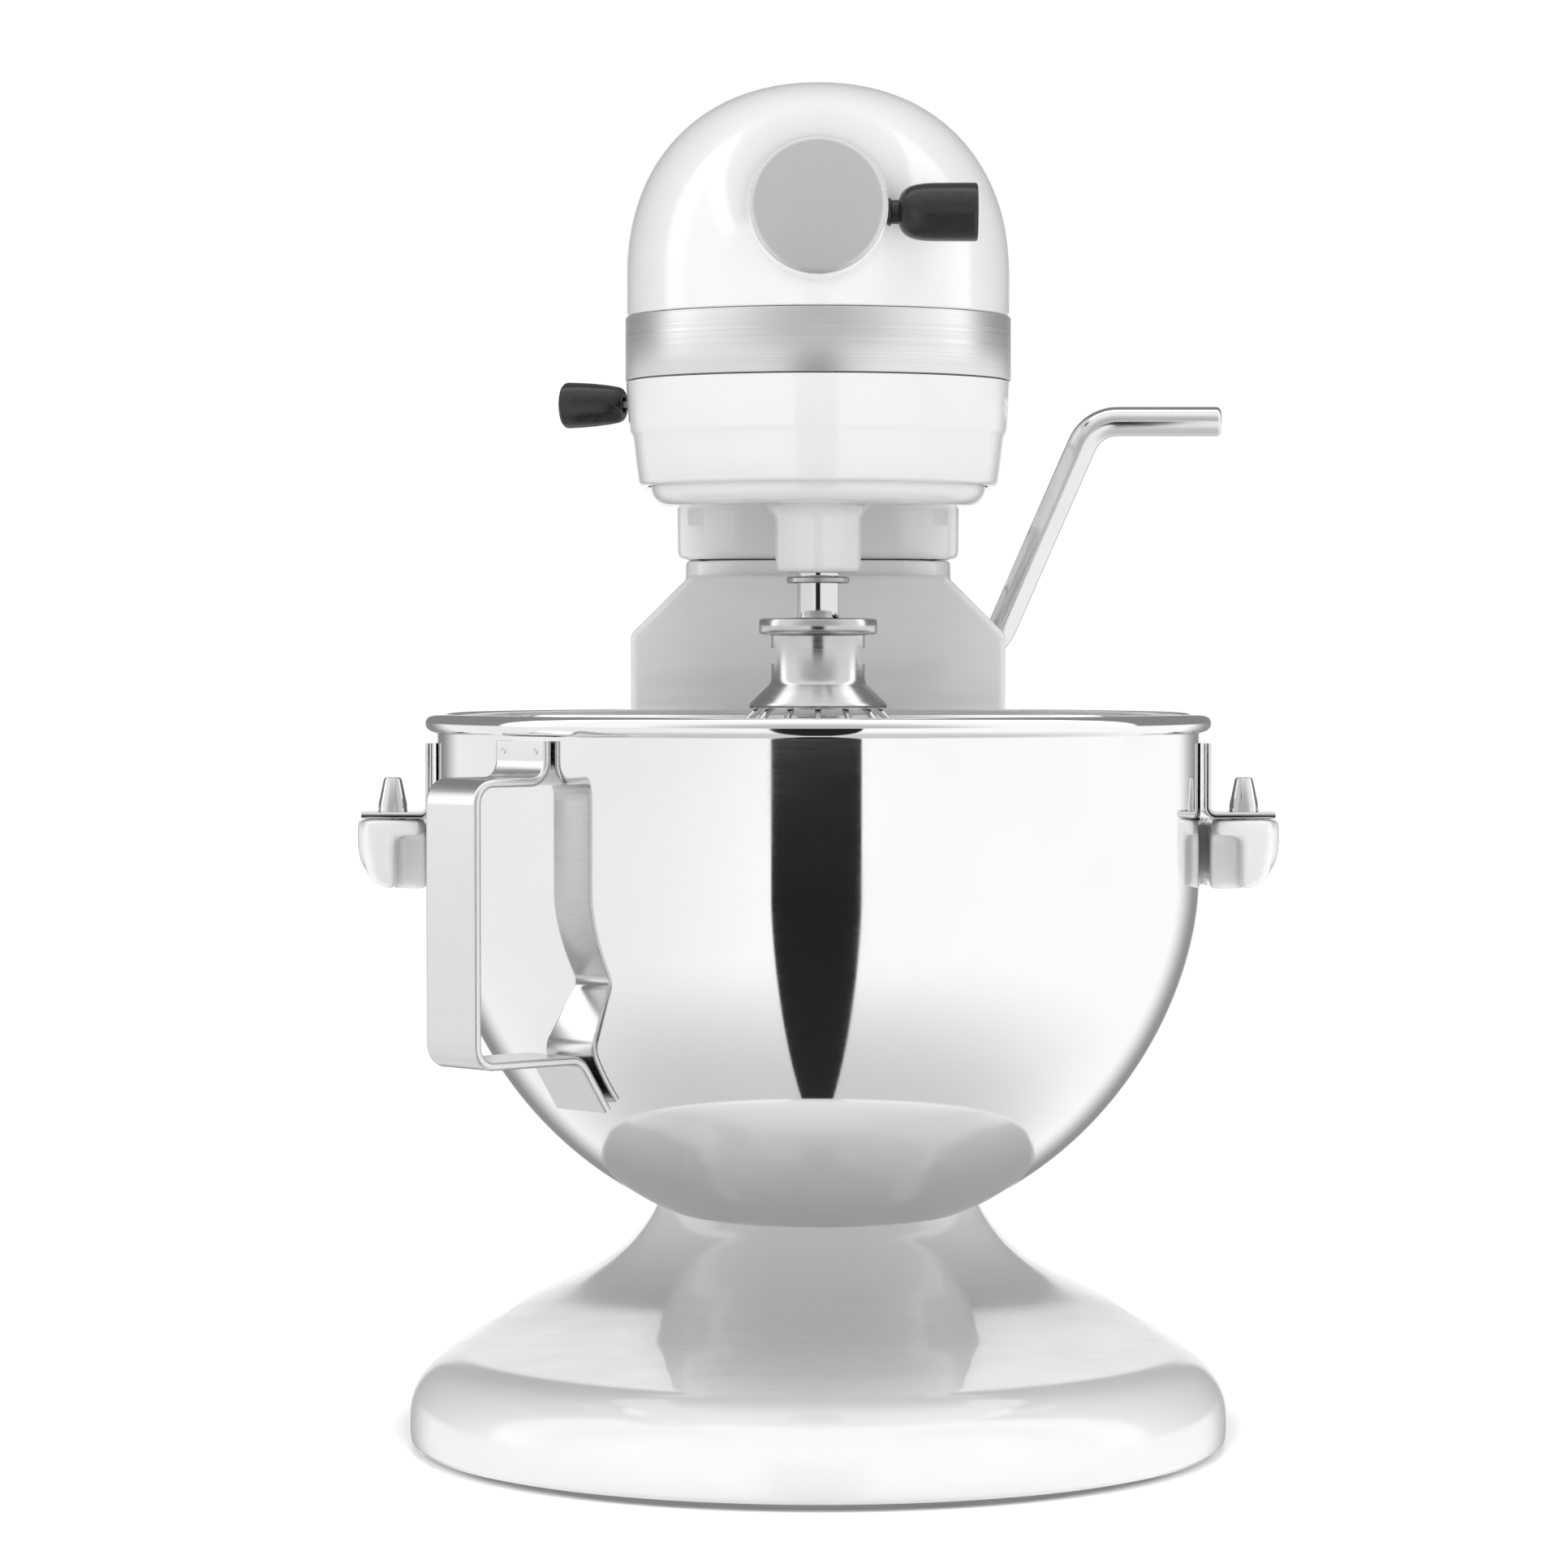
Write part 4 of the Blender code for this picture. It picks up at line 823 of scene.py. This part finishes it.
def strap_handle():
    """The bent strap handle with soft edges and two spot welds on its upper tab."""
    tab, weld_z = 1.8, 218
    shape = [(BOWL_R + tab, 221), (BOWL_R + tab, 209), (147.3, 209), (147.3, 126.5),
             (bowl_radius(126) + tab + 1.5, 126.5), (bowl_radius(111) + tab + 0.9, 111)]
    path = steadied(rounded([Vector(p) for p in shape], 6.0, 8))
    radial = Vector((-math.sin(STRAP_TURN), -math.cos(STRAP_TURN), 0))
    across = Vector((math.cos(STRAP_TURN), -math.sin(STRAP_TURN), 0))
    dress("bowl_handle_skin", bent_strip("strap", path, radial, across,
                                         bar_section(23, 2.6, 1.0)),
          ["bowl_handle"], look="satin_steel", sharp=45)
    weld = [(0, 0.05), (0.3, 0.06), (0.5, 0.2), (0.7, 0.24), (0.9, 0.15), (1.0, 0),
            (1.0, -0.4), (0, -0.4)]
    for k, shift in enumerate((-7.3, 7.3)):
        spot = Vector((0, BOWL_Y, weld_z)) + radial * (BOWL_R + tab + 1.3) + across * shift
        mesh = lathe(f"weld_{k}", weld, 24)
        turn_out = radial.to_track_quat("Z", "Y").to_matrix().to_4x4()
        extra(f"handle_weld_{k}", mesh, "bowl_handle", "satin_steel",
              place=Matrix.Translation(spot * MM) @ turn_out)


def bowl_brackets():
    """Angle brackets with a hole over each pin."""
    for end, side in SIDES:
        shape = [(side * 120.2, 219), (side * 120.2, 196.8), (side * 141, 196.8)]
        strip = bent_strip("bracket", rounded([Vector(p) for p in shape], 2.5, 6),
                           Vector((1, 0, 0)), Vector((0, 1, 0)), bar_section(30, 2, 0.7, 3))
        mesh = carve(strip, [drill(5.0, 190, 205, (side * PIN_X, BOWL_Y, 0))])
        dress(f"bowl_bracket_{end}_skin", mesh, [f"bowl_bracket_{end}"], sharp=40)


def rear_clip():
    """The rear tab and its pin."""
    rear = BOWL_Y + BOWL_R
    tab = slab("clip", [rounded_loop(corners(-10, 198, 10, 214), 2.5)],
               -rear - 1.9, -rear - 0.4, "XZ", bevel=0.4)
    dress("rear_clip_skin", tab, ["bowl_rear_clip"])
    pin = [(0, rear + 6.6), (2.3, rear + 6.6), (3, rear + 5.9), (3, rear + 1), (0, rear + 1)]
    extra("rear_clip_pin", lathe("pin", pin, 32, origin=(0, 0, 206), plane="ZX"),
          "bowl_rear_clip")


# ---------------------------------------------------------------- whip

def spun(mesh, angle):
    """Turn a mesh by an angle about the whip's axis."""
    place = Matrix.Translation((0, WHIP_Y * MM, 0))
    mesh.transform(place @ Matrix.Rotation(angle, 4, "Z") @ place.inverted())
    return mesh


def bezier(points, steps):
    """Points along a cubic curve, without its last one."""
    a, b, c, d = (Vector(p) for p in points)
    shares = [i / steps for i in range(steps)]
    return [a * (1 - t) ** 3 + b * 3 * t * (1 - t) ** 2 + c * 3 * t * t * (1 - t) + d * t ** 3
            for t in shares]


def whip_wires():
    """Seven polished wire loops."""
    for k in range(WHIP_LEGS // 2):
        name = f"whip_wire_{k + 1}"
        bottom = low(name, 2) + 1.0
        leg = bezier(((16, 232.5), (48, 200.5), (68, 190), (68, 152)), 22)
        leg += bezier(((68, 152), (68, 118), (40, bottom), (0, bottom)), 22)
        half = leg + [Vector((0, bottom))] + [Vector((-p.x, p.y)) for p in leg[::-1]]
        angle = WHIP_TURN + TURN * k / WHIP_LEGS
        line = [(p.x * math.cos(angle), WHIP_Y + p.x * math.sin(angle), p.y) for p in half]
        dress(name + "_skin", sweep(name, line, disc_section(1.0, 12)), [name])


def whip_hub():
    """The cast hub with its pin slots and the holes for the wires."""
    profile = [(0, 233.0), (6.7, 233.0), (6.7, 256.9), (7.3, 257.5), (17.3, 257.5),
               (18.0, 257.1), (18.2, 256.6), (18.2, 253.4), (17.9, 252.8), (17.3, 252.5),
               (15.0, 252.5), (14.5, 252.2), (14.4, 251.6), (14.4, 239.4), (14.6, 238.2),
               (15.2, 237.2), (20.9, 231.7), (21.3, 230.9), (21.2, 230.2), (20.6, 229.8),
               (0, 229.8)]
    hub = lathe("hub", profile, 72, origin=WHIP_AXIS)
    cutters = []
    for side in (WHIP_TURN, WHIP_TURN + math.pi):
        wedge = [(r * math.cos(a + side), r * math.sin(a + side)) for r, a in (
            (5, -0.97), (5, 0.45), (20, 0.26), (20, 0), (20, -0.26), (20, -0.52), (20, -0.78))]
        outline = [(x, WHIP_Y + y) for x, y in rounded_loop(wedge, 0.8, 3)]
        cutters.append(slab("window", [outline], 243.6, 248.4))
    entry = boxed("entry", (-12.4, -2.4, 243.6), (12.4, 2.4, 262))
    turn = Matrix.Rotation(WHIP_TURN - math.radians(30), 4, "Z")
    entry.transform(Matrix.Translation((0, WHIP_Y * MM, 0)) @ turn)
    dress("whip_hub_skin", carve(hub, [*cutters, entry, wire_holes()]), ["whip_hub"],
          look="turned_metal", sharp=30)


def wire_holes():
    """One cutter with a slanted hole for each wire leg."""
    bm = bmesh.new()
    for k in range(WHIP_LEGS):
        spin = Matrix.Rotation(WHIP_TURN + TURN * k / WHIP_LEGS, 4, "Z")
        lean = Matrix.Rotation(math.radians(-45), 4, "Y")
        place = Matrix.Translation(Vector((18.5, 0, 230.0)) * MM)
        bmesh.ops.create_cone(bm, cap_ends=True, segments=16, radius1=1.4 * MM,
                              radius2=1.4 * MM, depth=9 * MM, matrix=spin @ place @ lean)
    mesh = bpy.data.meshes.new("wire_holes")
    bm.to_mesh(mesh)
    bm.free()
    mesh.transform(Matrix.Translation((0, WHIP_Y * MM, 0)))
    return mesh


# ---------------------------------------------------------------- drive that shows

def planetary():
    """The enamelled disc with its round edge, and the column that flows out of it."""
    half, top, edge, fillet = 52, 299.2, 6.0, 5.5
    stem, tip, lip = 13, 273.3, 2
    disc = [(0, top), (half - 0.6, top), (half, top - 0.6), (half, DISC_LOW + edge)]
    disc += [(half - edge + edge * math.cos(a), DISC_LOW + edge - edge * math.sin(a))
             for a in quarter(10)]
    disc.append((0, DISC_LOW))
    column = [(0, DISC_LOW + 3), (stem + fillet, DISC_LOW + 3), (stem + fillet, DISC_LOW)]
    column += [(stem + fillet - fillet * math.sin(a), DISC_LOW - fillet + fillet * math.cos(a))
               for a in quarter(10)]
    column.append((stem, tip))
    column += [(stem - lip + lip * math.cos(a), tip - lip * math.sin(a)) for a in quarter(6)]
    column.append((0, tip - lip))
    body, boss = (carve(mesh, [drill(6.65, 265, 305, WHIP_AXIS)]) for mesh in (
        lathe("disc", disc, 128, origin=BOWL_AXIS),
        lathe("column", column, 96, origin=WHIP_AXIS)))
    dress("planetary_skin", body, ["planetary_carrier"], sharp=30)
    extra("planetary_column", boss, "planetary_carrier", sharp=30)


def agitator():
    """The polished shaft, its washer and its cross pin."""
    body = [(0, 308.3), (5.8, 308.3), (6.35, 307.7), (6.35, 235.2), (6.1, 234.5), (5.6, 234.2),
            (0, 234.2)]
    shaft = carve(lathe("shaft", body, 64, origin=WHIP_AXIS),
                  [spun(drill(2.2, -10, 10, (0, WHIP_Y, 246), "YZ", 24), WHIP_TURN)])
    dress("agitator_shaft_skin", shaft, ["agitator_shaft"])
    ring = [(6.65, 270.2), (9.2, 270.2), (9.6, 269.8), (9.6, 268.6), (9.2, 268.2), (6.65, 268.2)]
    dress("shaft_washer_skin", lathe("washer", ring, 56, True, WHIP_AXIS), ["shaft_washer"])
    pin = [(0, 12), (1.3, 12), (1.9, 11.4), (1.9, -11.4), (1.3, -12), (0, -12)]
    cross = spun(lathe("pin", pin, 28, origin=(0, WHIP_Y, 246), plane="YZ"), WHIP_TURN)
    dress("agitator_pin_skin", cross, ["agitator_pin"])


# ---------------------------------------------------------------- head

def gear_housing():
    """The lower head casting: two shallow steps, a rounded lip and the neck block."""
    rings = [(298.5, 53.6), (298.6, 54.6), (299.0, 55.4), (299.8, 55.9), (306, 56.7),
             (313.0, 57.5), (313.8, 57.7), (314.5, 58.1), (315.1, 58.45), (316.0, 58.6),
             (324, 59.2), (330.7, 59.6)]
    housing = skin("housing", [stadium(z, half, HEAD_REAR) for z, half in rings])
    neck_rows = [(278.5, 45.2), (278.8, 46.9), (279.7, 47.9), (281.2, 48.3), (298.6, 48.5)]
    neck = skin("neck", [superellipse(z, half, 93 + 48.5 - half, 130, 166 - 48.5 + half, 5.0, 4.0)
                         for z, half in neck_rows])
    join = boxed("join", (-44, 96, 290), (44, 117.5, 305))
    whole = carve(carve(housing, [neck], "UNION"), [join], "UNION")
    cavity = [stadium(z, half, HEAD_REAR - 3, 24) for z, half in
              ((313, 54.4), (315, 55.3), (340, 56.8))]
    slot = rounded_loop(corners(-28, 324.6, 14, 328.6), 1.9)
    cutters = [skin("cavity", cavity), drill(52.9, 290, 309, BOWL_AXIS, steps=128),
               drill(6.3, 300, 320, BOWL_AXIS), boxed("pocket", (-40, 100, 270), (40, 158, 294.5)),
               slab("speed_slot", [slot], -70, -45, "YZ")]
    dress("gear_housing_skin", carve(whole, cutters), ["gear_housing"], sharp=35)


def cover_rows(inset, rear, levels, steps):
    """Stadium rings of the upper cover or, with an inset, of the space inside it."""
    rows = [(BAND_LOW - 5, HEAD_HALF - inset), (HEAD_MID_Z, HEAD_HALF - inset)]
    if not inset:
        recess = HEAD_HALF - 1.9
        rows = [(BAND_LOW - 0.1, recess), (BAND_HIGH + 0.15, recess),
                (BAND_HIGH + 0.25, HEAD_HALF - 0.5), (BAND_HIGH + 0.8, HEAD_HALF),
                (HEAD_MID_Z, HEAD_HALF)]
    for i in range(1, levels + 1):
        z = HEAD_MID_Z + (HEAD_RISE - inset) * math.sin(math.pi / 2 * i / (levels + 0.25))
        rows.append((z, head_half(z, inset)))
    return [stadium(z, half, rear, steps) for z, half in rows]


def head_front(x, z):
    """The y of the head's front surface at a place seen from the front."""
    half = head_half(z) if z > HEAD_MID_Z else HEAD_HALF
    return BOWL_Y - math.sqrt(max(half * half - x * x, 0.0))


def hub_boss():
    """The attachment hub's boss, whose foot flows into the head's curved front."""
    around, steps, reach, collar, foot, tuck = 128, 18, 13.0, 20.8, -111.0, 0.94
    face = low("hub_cover", 1) + 5.5

    def ring(radius, y):
        return [(x, y, HUB_Z + z) for x, z in disc_section(radius, around)]

    rows = [ring(radius, y) for radius, y in (
        (17.3, -100), (17.3, face + 0.6), (17.6, face + 0.1), (18.2, face), (19.8, face),
        (20.4, face + 0.2), (20.75, face + 0.7), (collar, face + 1.4), (collar, foot))]
    for angle in quarter(steps):
        row = []
        for x, y, z in ring(collar + 0.2 + reach * (1 - math.cos(angle)), foot):
            z = max(z, BAND_HIGH + 0.5)
            row.append((x, y + (head_front(x, z) - 0.05 - y) * math.sin(angle), z))
        rows.append(row)
    rows.append([(x * tuck, y + 2.5, HUB_Z + (z - HUB_Z) * tuck) for x, y, z in rows[-1]])
    return skin("boss", rows, caps=False)


def motor_cover():
    """The upper shell, with the boss as its own skin on the same casting."""
    shell = skin("cover", cover_rows(0, HEAD_REAR, 40, 64))
    inner = skin("space", cover_rows(4.9, HEAD_REAR + 12, 8, 24))
    axis = (0, BRUSH_Y, MOTOR_Z)
    cutters = [inner, drill(19, -125, -80, (0, 0, HUB_Z), "ZX", 64),
               drill(8.4, -65, 65, axis, "YZ", 48)]
    dress("motor_cover_skin", carve(shell, cutters), ["motor_cover"], sharp=35)
    extra("hub_boss_skin", hub_boss(), "motor_cover", sharp=35)


def head_outline(scale, y, sides=20):
    """An upright ring of the head's full outline, scaled about its middle height."""
    centre = 360.0
    half = [(0, 298.8), (20, 298.8), (40, 298.8), (50, 298.8), (53.2, 298.95), (55.0, 299.6),
            (55.8, 301.0), (56.5, 306), (57.3, 312), (58.4, 320), (59.2, 327), (59.6, 333),
            (HEAD_HALF, 340), (HEAD_HALF, 348), (HEAD_HALF, 356), (HEAD_HALF, HEAD_MID_Z)]
    for i in range(1, sides):
        z = HEAD_MID_Z + HEAD_RISE * math.sin(math.pi / 2 * i / sides)
        half.append((head_half(z), z))
    half.append((0, HEAD_MID_Z + HEAD_RISE))
    ring = half + [(-x, z) for x, z in half[-2:0:-1]]
    return [(x * scale, y, centre + (z - centre) * scale) for x, z in ring]


def rear_cover():
    """The domed end cap with a soft front edge and cooling slots in its back."""
    start, depth, levels = HEAD_REAR + 0.3, 46.7, 30

    def swell(share):
        return (1 - share ** REAR_ROUND) ** (1 / REAR_ROUND)

    rows = [head_outline(0.994, start), head_outline(0.998, start + 0.25)]
    for share in [0.0] + [math.sin(a) for a in quarter(levels)[:-1]]:
        rows.append(head_outline(swell(share), start + 0.7 + (depth - 0.7) * share))
    rows.append(head_outline(0.1, start + depth))
    inner = [head_outline(0.945, start - 5, 6)]
    inner += [head_outline(swell(share) * 0.945, start + (depth - 3) * share, 6)
              for share in (0, 0.35, 0.62, 0.82, 0.94, 0.99)]
    cutters = [skin("space", inner)]
    for x in range(-24, 25, 8):
        slot = rounded_loop(corners(x - 1.5, 321, x + 1.5, 339), 1.45, 5)
        cutters.append(slab("vent", [slot], -175, -135, "XZ"))
    dress("rear_cover_skin", carve(skin("rear", rows), cutters), ["rear_cover"], sharp=35)


def trim_band():
    """The brushed band, with narrow rolled edges, round the front and sides of the head."""
    profile = [(-1.6, BAND_LOW), (-0.15, BAND_LOW), (0.1, BAND_LOW + 0.15),
               (0.2, BAND_LOW + 0.5), (0.2, BAND_HIGH - 0.5), (0.1, BAND_HIGH - 0.15),
               (-0.15, BAND_HIGH), (-1.6, BAND_HIGH)]
    rings = [stadium(z, HEAD_HALF + out, HEAD_REAR, 96) for out, z in profile]
    rows = list(zip(*rings))
    dress("trim_band_skin", skin("band", [rows[-1], *rows[:-1]]), ["trim_band"], sharp=40)


def hub_fittings():
    """The satin cap over the hub, with a ridged edge, and the clamping knob."""
    cap = [(0, -126.2), (18.6, -126.4), (19.5, -126.25), (20.0, -125.9), (20.2, -125.5),
           (20.2, -121.9), (19.9, -121.4), (19.4, -121.3), (16.6, -121.2), (16.6, -108.6),
           (0, -108.6)]
    ridges, groove = 96, 0.99
    mesh = lathe("cap", cap, 2 * ridges, origin=(0, 0, HUB_Z), plane="ZX")
    for vertex in mesh.vertices:
        x, rise = vertex.co.x / MM, vertex.co.z / MM - HUB_Z
        place = round(math.atan2(rise, x) / TURN * 2 * ridges)
        if math.hypot(x, rise) > 20.1 and place % 2:
            vertex.co.x = x * groove * MM
            vertex.co.z = (HUB_Z + rise * groove) * MM
    dress("hub_cover_skin", mesh, ["hub_cover"], look="satin_disc")
    knob = [(0, 46.9), (6.6, 46.9), (7.2, 47.3), (7.9, 47.5), (8.4, 47.3), (8.7, 46.8),
            (8.7, 46.0), (8.7, 40), (8.65, 34), (8.5, 31.2), (8.2, 29.2), (7.7, 27.4),
            (6.9, 26.0), (5.9, 25.0), (4.7, 24.3), (3.9, 24.1), (3.6, 23.8), (3.6, 21.9),
            (4.1, 21.5), (4.2, 20.9), (3.6, 20.5), (3.6, 17.7), (0, 17.7)]
    dress("hub_knob_skin", lathe("knob", knob, 72, origin=(0, KNOB_Y, KNOB_Z), plane="YZ"),
          ["hub_knob"])


def speed_knob():
    """The knob on the speed lever, turned to the lever's angle."""
    pivot, rest = (-6.0, -4.0, 326.6), math.radians(14.5)
    profile = [(0, -68), (2.5, -68), (2.5, -58.4), (2.8, -58.2), (4.3, -58.2), (5.1, -58.7),
               (5.7, -59.8), (6.3, -63), (6.9, -68), (7.2, -72.5), (7.4, -76.6), (7.2, -77.6),
               (6.5, -78.3), (5.6, -78.4), (0, -78.1)]
    mesh = lathe("speed", profile, 64, plane="YZ")
    mesh.transform(Matrix.Translation(Vector(pivot) * MM) @ Matrix.Rotation(-rest, 4, "Z"))
    dress("speed_knob_skin", mesh, ["speed_knob"])


def brush_caps():
    """Screw caps with a coin slot."""
    profile = [(0, 59.9), (6.6, 59.9), (7.4, 59.6), (7.9, 59.0), (8.0, 58.4), (8.0, 50), (0, 50)]
    for end, side in SIDES:
        cap = lathe("cap", [(r, side * h) for r, h in profile], 56,
                    origin=(0, BRUSH_Y, MOTOR_Z), plane="YZ")
        left, right = sorted((side * 58.4, side * 61))
        slot = boxed("coin", (left, BRUSH_Y - 6, MOTOR_Z - 0.9),
                     (right, BRUSH_Y + 6, MOTOR_Z + 0.9))
        dress(f"brush_cap_{end}_skin", carve(cap, [slot]), [f"brush_cap_{end}"])


def finish_cad_nodes():
    """Give each CAD node the finish of its slot."""
    for name, obj in frame["nodes"].items():
        obj.data.materials.clear()
        obj.data.materials.append(FINISHES[SLOT_OF[name]])
        for polygon in obj.data.polygons:
            polygon.material_index = 0


# ---------------------------------------------------------------- studio

def aimed(obj, place, target):
    """Put an object somewhere, looking at a point."""
    obj.location = place
    aim = Vector(target) - Vector(place)
    obj.rotation_euler = aim.to_track_quat("-Z", "Y").to_euler()


def area_light(name, place, target, size, power):
    """A rectangular soft light that looks at a point."""
    light = bpy.data.lights.new(name, "AREA")
    light.shape = "RECTANGLE"
    light.size, light.size_y = size
    light.energy = power
    obj = placed(name, light)
    aimed(obj, place, target)
    obj.visible_glossy = False


def dark_card():
    """A black card in front of the machine, a slice of a sphere that the camera can't see."""
    centre, reach, bands, points = Vector((0, -150, 150)), 2300, 12, []
    for k in range(bands + 1):
        rise = math.radians(-80 + 6.8 * k)
        for turn in (math.radians(-13.9), math.radians(12.9)):
            level = Vector((math.sin(turn), -math.cos(turn), 0)) * math.cos(rise)
            points.append(centre + reach * (level + Vector((0, 0, math.sin(rise)))))
    faces = [(2 * k, 2 * k + 1, 2 * k + 3, 2 * k + 2) for k in range(bands)]
    mesh = mesh_from("dark_card", points, faces)
    obj = placed("dark_card", mesh)
    mesh.materials.append(Nodes("dark_card", grey(0.008), 0.9).material)
    obj.visible_camera = False


def surround():
    """White light all round. Shiny surfaces find it greyer in some directions."""
    world = bpy.data.worlds.new("studio")
    bpy.context.scene.world = world
    world.use_nodes = True
    tree = world.node_tree

    def ramp(value, start, end):
        """A smooth rise from 0 to 1 between two values."""
        node = tree.nodes.new("ShaderNodeMapRange")
        node.interpolation_type = "SMOOTHSTEP"
        node.inputs["From Min"].default_value = start
        node.inputs["From Max"].default_value = end
        tree.links.new(value, node.inputs["Value"])
        return node.outputs["Result"]

    def maths(kind, first, second):
        """The result of an operation on numbers or outputs."""
        node = tree.nodes.new("ShaderNodeMath")
        node.operation = kind
        for socket, value in zip(node.inputs, (first, second)):
            if isinstance(value, float):
                socket.default_value = value
            else:
                tree.links.new(value, socket)
        return node.outputs["Value"]

    place = tree.nodes.new("ShaderNodeTexCoord")
    split = tree.nodes.new("ShaderNodeSeparateXYZ")
    tree.links.new(place.outputs["Generated"], split.inputs["Vector"])
    across, along, up = (split.outputs[axis] for axis in "XYZ")
    above = ramp(up, -0.02, 0.04)
    below = maths("SUBTRACT", 1.0, above)
    screen = ramp(along, 0.972, 0.95)
    arch = maths("MULTIPLY", ramp(along, -0.12, 0.0), ramp(along, 0.26, 0.20))
    # Where each grey lies, its half of the world and its depth
    shades = [(maths("MULTIPLY", ramp(along, 0.70, 0.92), screen), below, REAR_GREY),
              (ramp(across, -0.1, -0.9), below, LEFT_GREY),
              (ramp(up, -0.45, -1.0), below, LOW_GREY),
              (ramp(along, -0.50, -0.97), above, FRONT_GREY),
              (maths("MULTIPLY", ramp(along, 0.20, 0.27), screen), above, BACK_GREY),
              (arch, above, -ARCH_GLOW)]
    level = SURROUND
    for value, half, depth in shades:
        level = maths("SUBTRACT", level,
                      maths("MULTIPLY", maths("MULTIPLY", value, half), depth))
    path = tree.nodes.new("ShaderNodeLightPath")
    fill = maths("SUBTRACT", 1.0, maths("MULTIPLY", path.outputs["Is Diffuse Ray"], 1 - FILL))
    seen = maths("MULTIPLY", path.outputs["Is Camera Ray"], SURROUND)
    back = tree.nodes["Background"]
    tree.links.new(maths("MAXIMUM", maths("MULTIPLY", level, fill), seen),
                   back.inputs["Strength"])
    back.inputs["Color"].default_value = (1, 1, 1, 1)


def studio():
    """A pale floor with a painted glow beyond the base, a bright surround, soft lights and a dark
    card.
    """
    bpy.context.scene.view_settings.view_transform = "Standard"
    surround()
    edge = 9000
    floor = placed("floor", mesh_from("floor", [(x, y, 0) for x, y in corners(
        -edge, -edge, edge, edge)], [(0, 1, 2, 3)]))
    glowing_paper = Nodes("glowing_paper", grey(0.95), 0.9)
    glowing_paper.set("Emission Color", (1, 1, 1, 1))
    spot = glowing_paper.add("ShaderNodeNewGeometry")
    oval = glowing_paper.add("ShaderNodeVectorMath", operation="MULTIPLY")
    oval.inputs[1].default_value = (1 / 0.127, 1 / 0.173, 0)  # the base's half axes
    reach = glowing_paper.add("ShaderNodeVectorMath", operation="LENGTH")
    glowing_paper.link(spot.outputs["Position"], oval.inputs[0])
    glowing_paper.link(oval.outputs["Vector"], reach.inputs[0])
    # painted light: the floor glows from just outside the base's outline outwards, which washes
    # out the base's wide soft shadow and leaves only a narrow contact shadow
    glowing_paper.link(glowing_paper.ranged(reach.outputs["Value"], 0.0, 0.65, 1.0, 1.14),
               glowing_paper.shader.inputs["Emission Strength"])
    glowing_paper.set("Specular IOR Level", 0.0)
    glowing_paper.bump(glowing_paper.noise(300), 0.02, 0.0002)
    floor.data.materials.append(glowing_paper.material)
    floor.visible_glossy = False
    dark_card()
    for name, place, target, size, power in (
            ("left", (-1.3, -1.2, 0.9), (0, -0.02, 0.22), (0.5, 1.6), 5),
            ("right", (1.3, -1.1, 0.9), (0, -0.02, 0.22), (0.5, 1.6), 5),
            ("top", (0, -0.35, 1.9), (0, -0.05, 0.2), (1.2, 1.0), 16),
            ("front", (0, -2.3, 0.25), (0, 0, 0.25), (1.6, 0.6), 7)):
        area_light(name, place, target, size, power)


def camera():
    """A long lens straight in front, a little above the bowl's rim."""
    data = bpy.data.cameras.new("camera")
    data.sensor_width = 36
    data.lens = 117.4
    obj = placed("camera", data)
    aimed(obj, (0, -1.636, 0.248), (-0.0106, -0.045, 0.2061))
    bpy.context.scene.camera = obj


finish_cad_nodes()
for make in (pedestal, feet, cord_gland, yoke, pins, lift_spring, lift_lever, bushing, bowl,
             strap_handle, bowl_brackets, rear_clip, whip_wires, whip_hub, planetary, agitator,
             gear_housing, motor_cover, rear_cover, trim_band, hub_fittings, speed_knob,
             brush_caps, studio, camera):
    make()
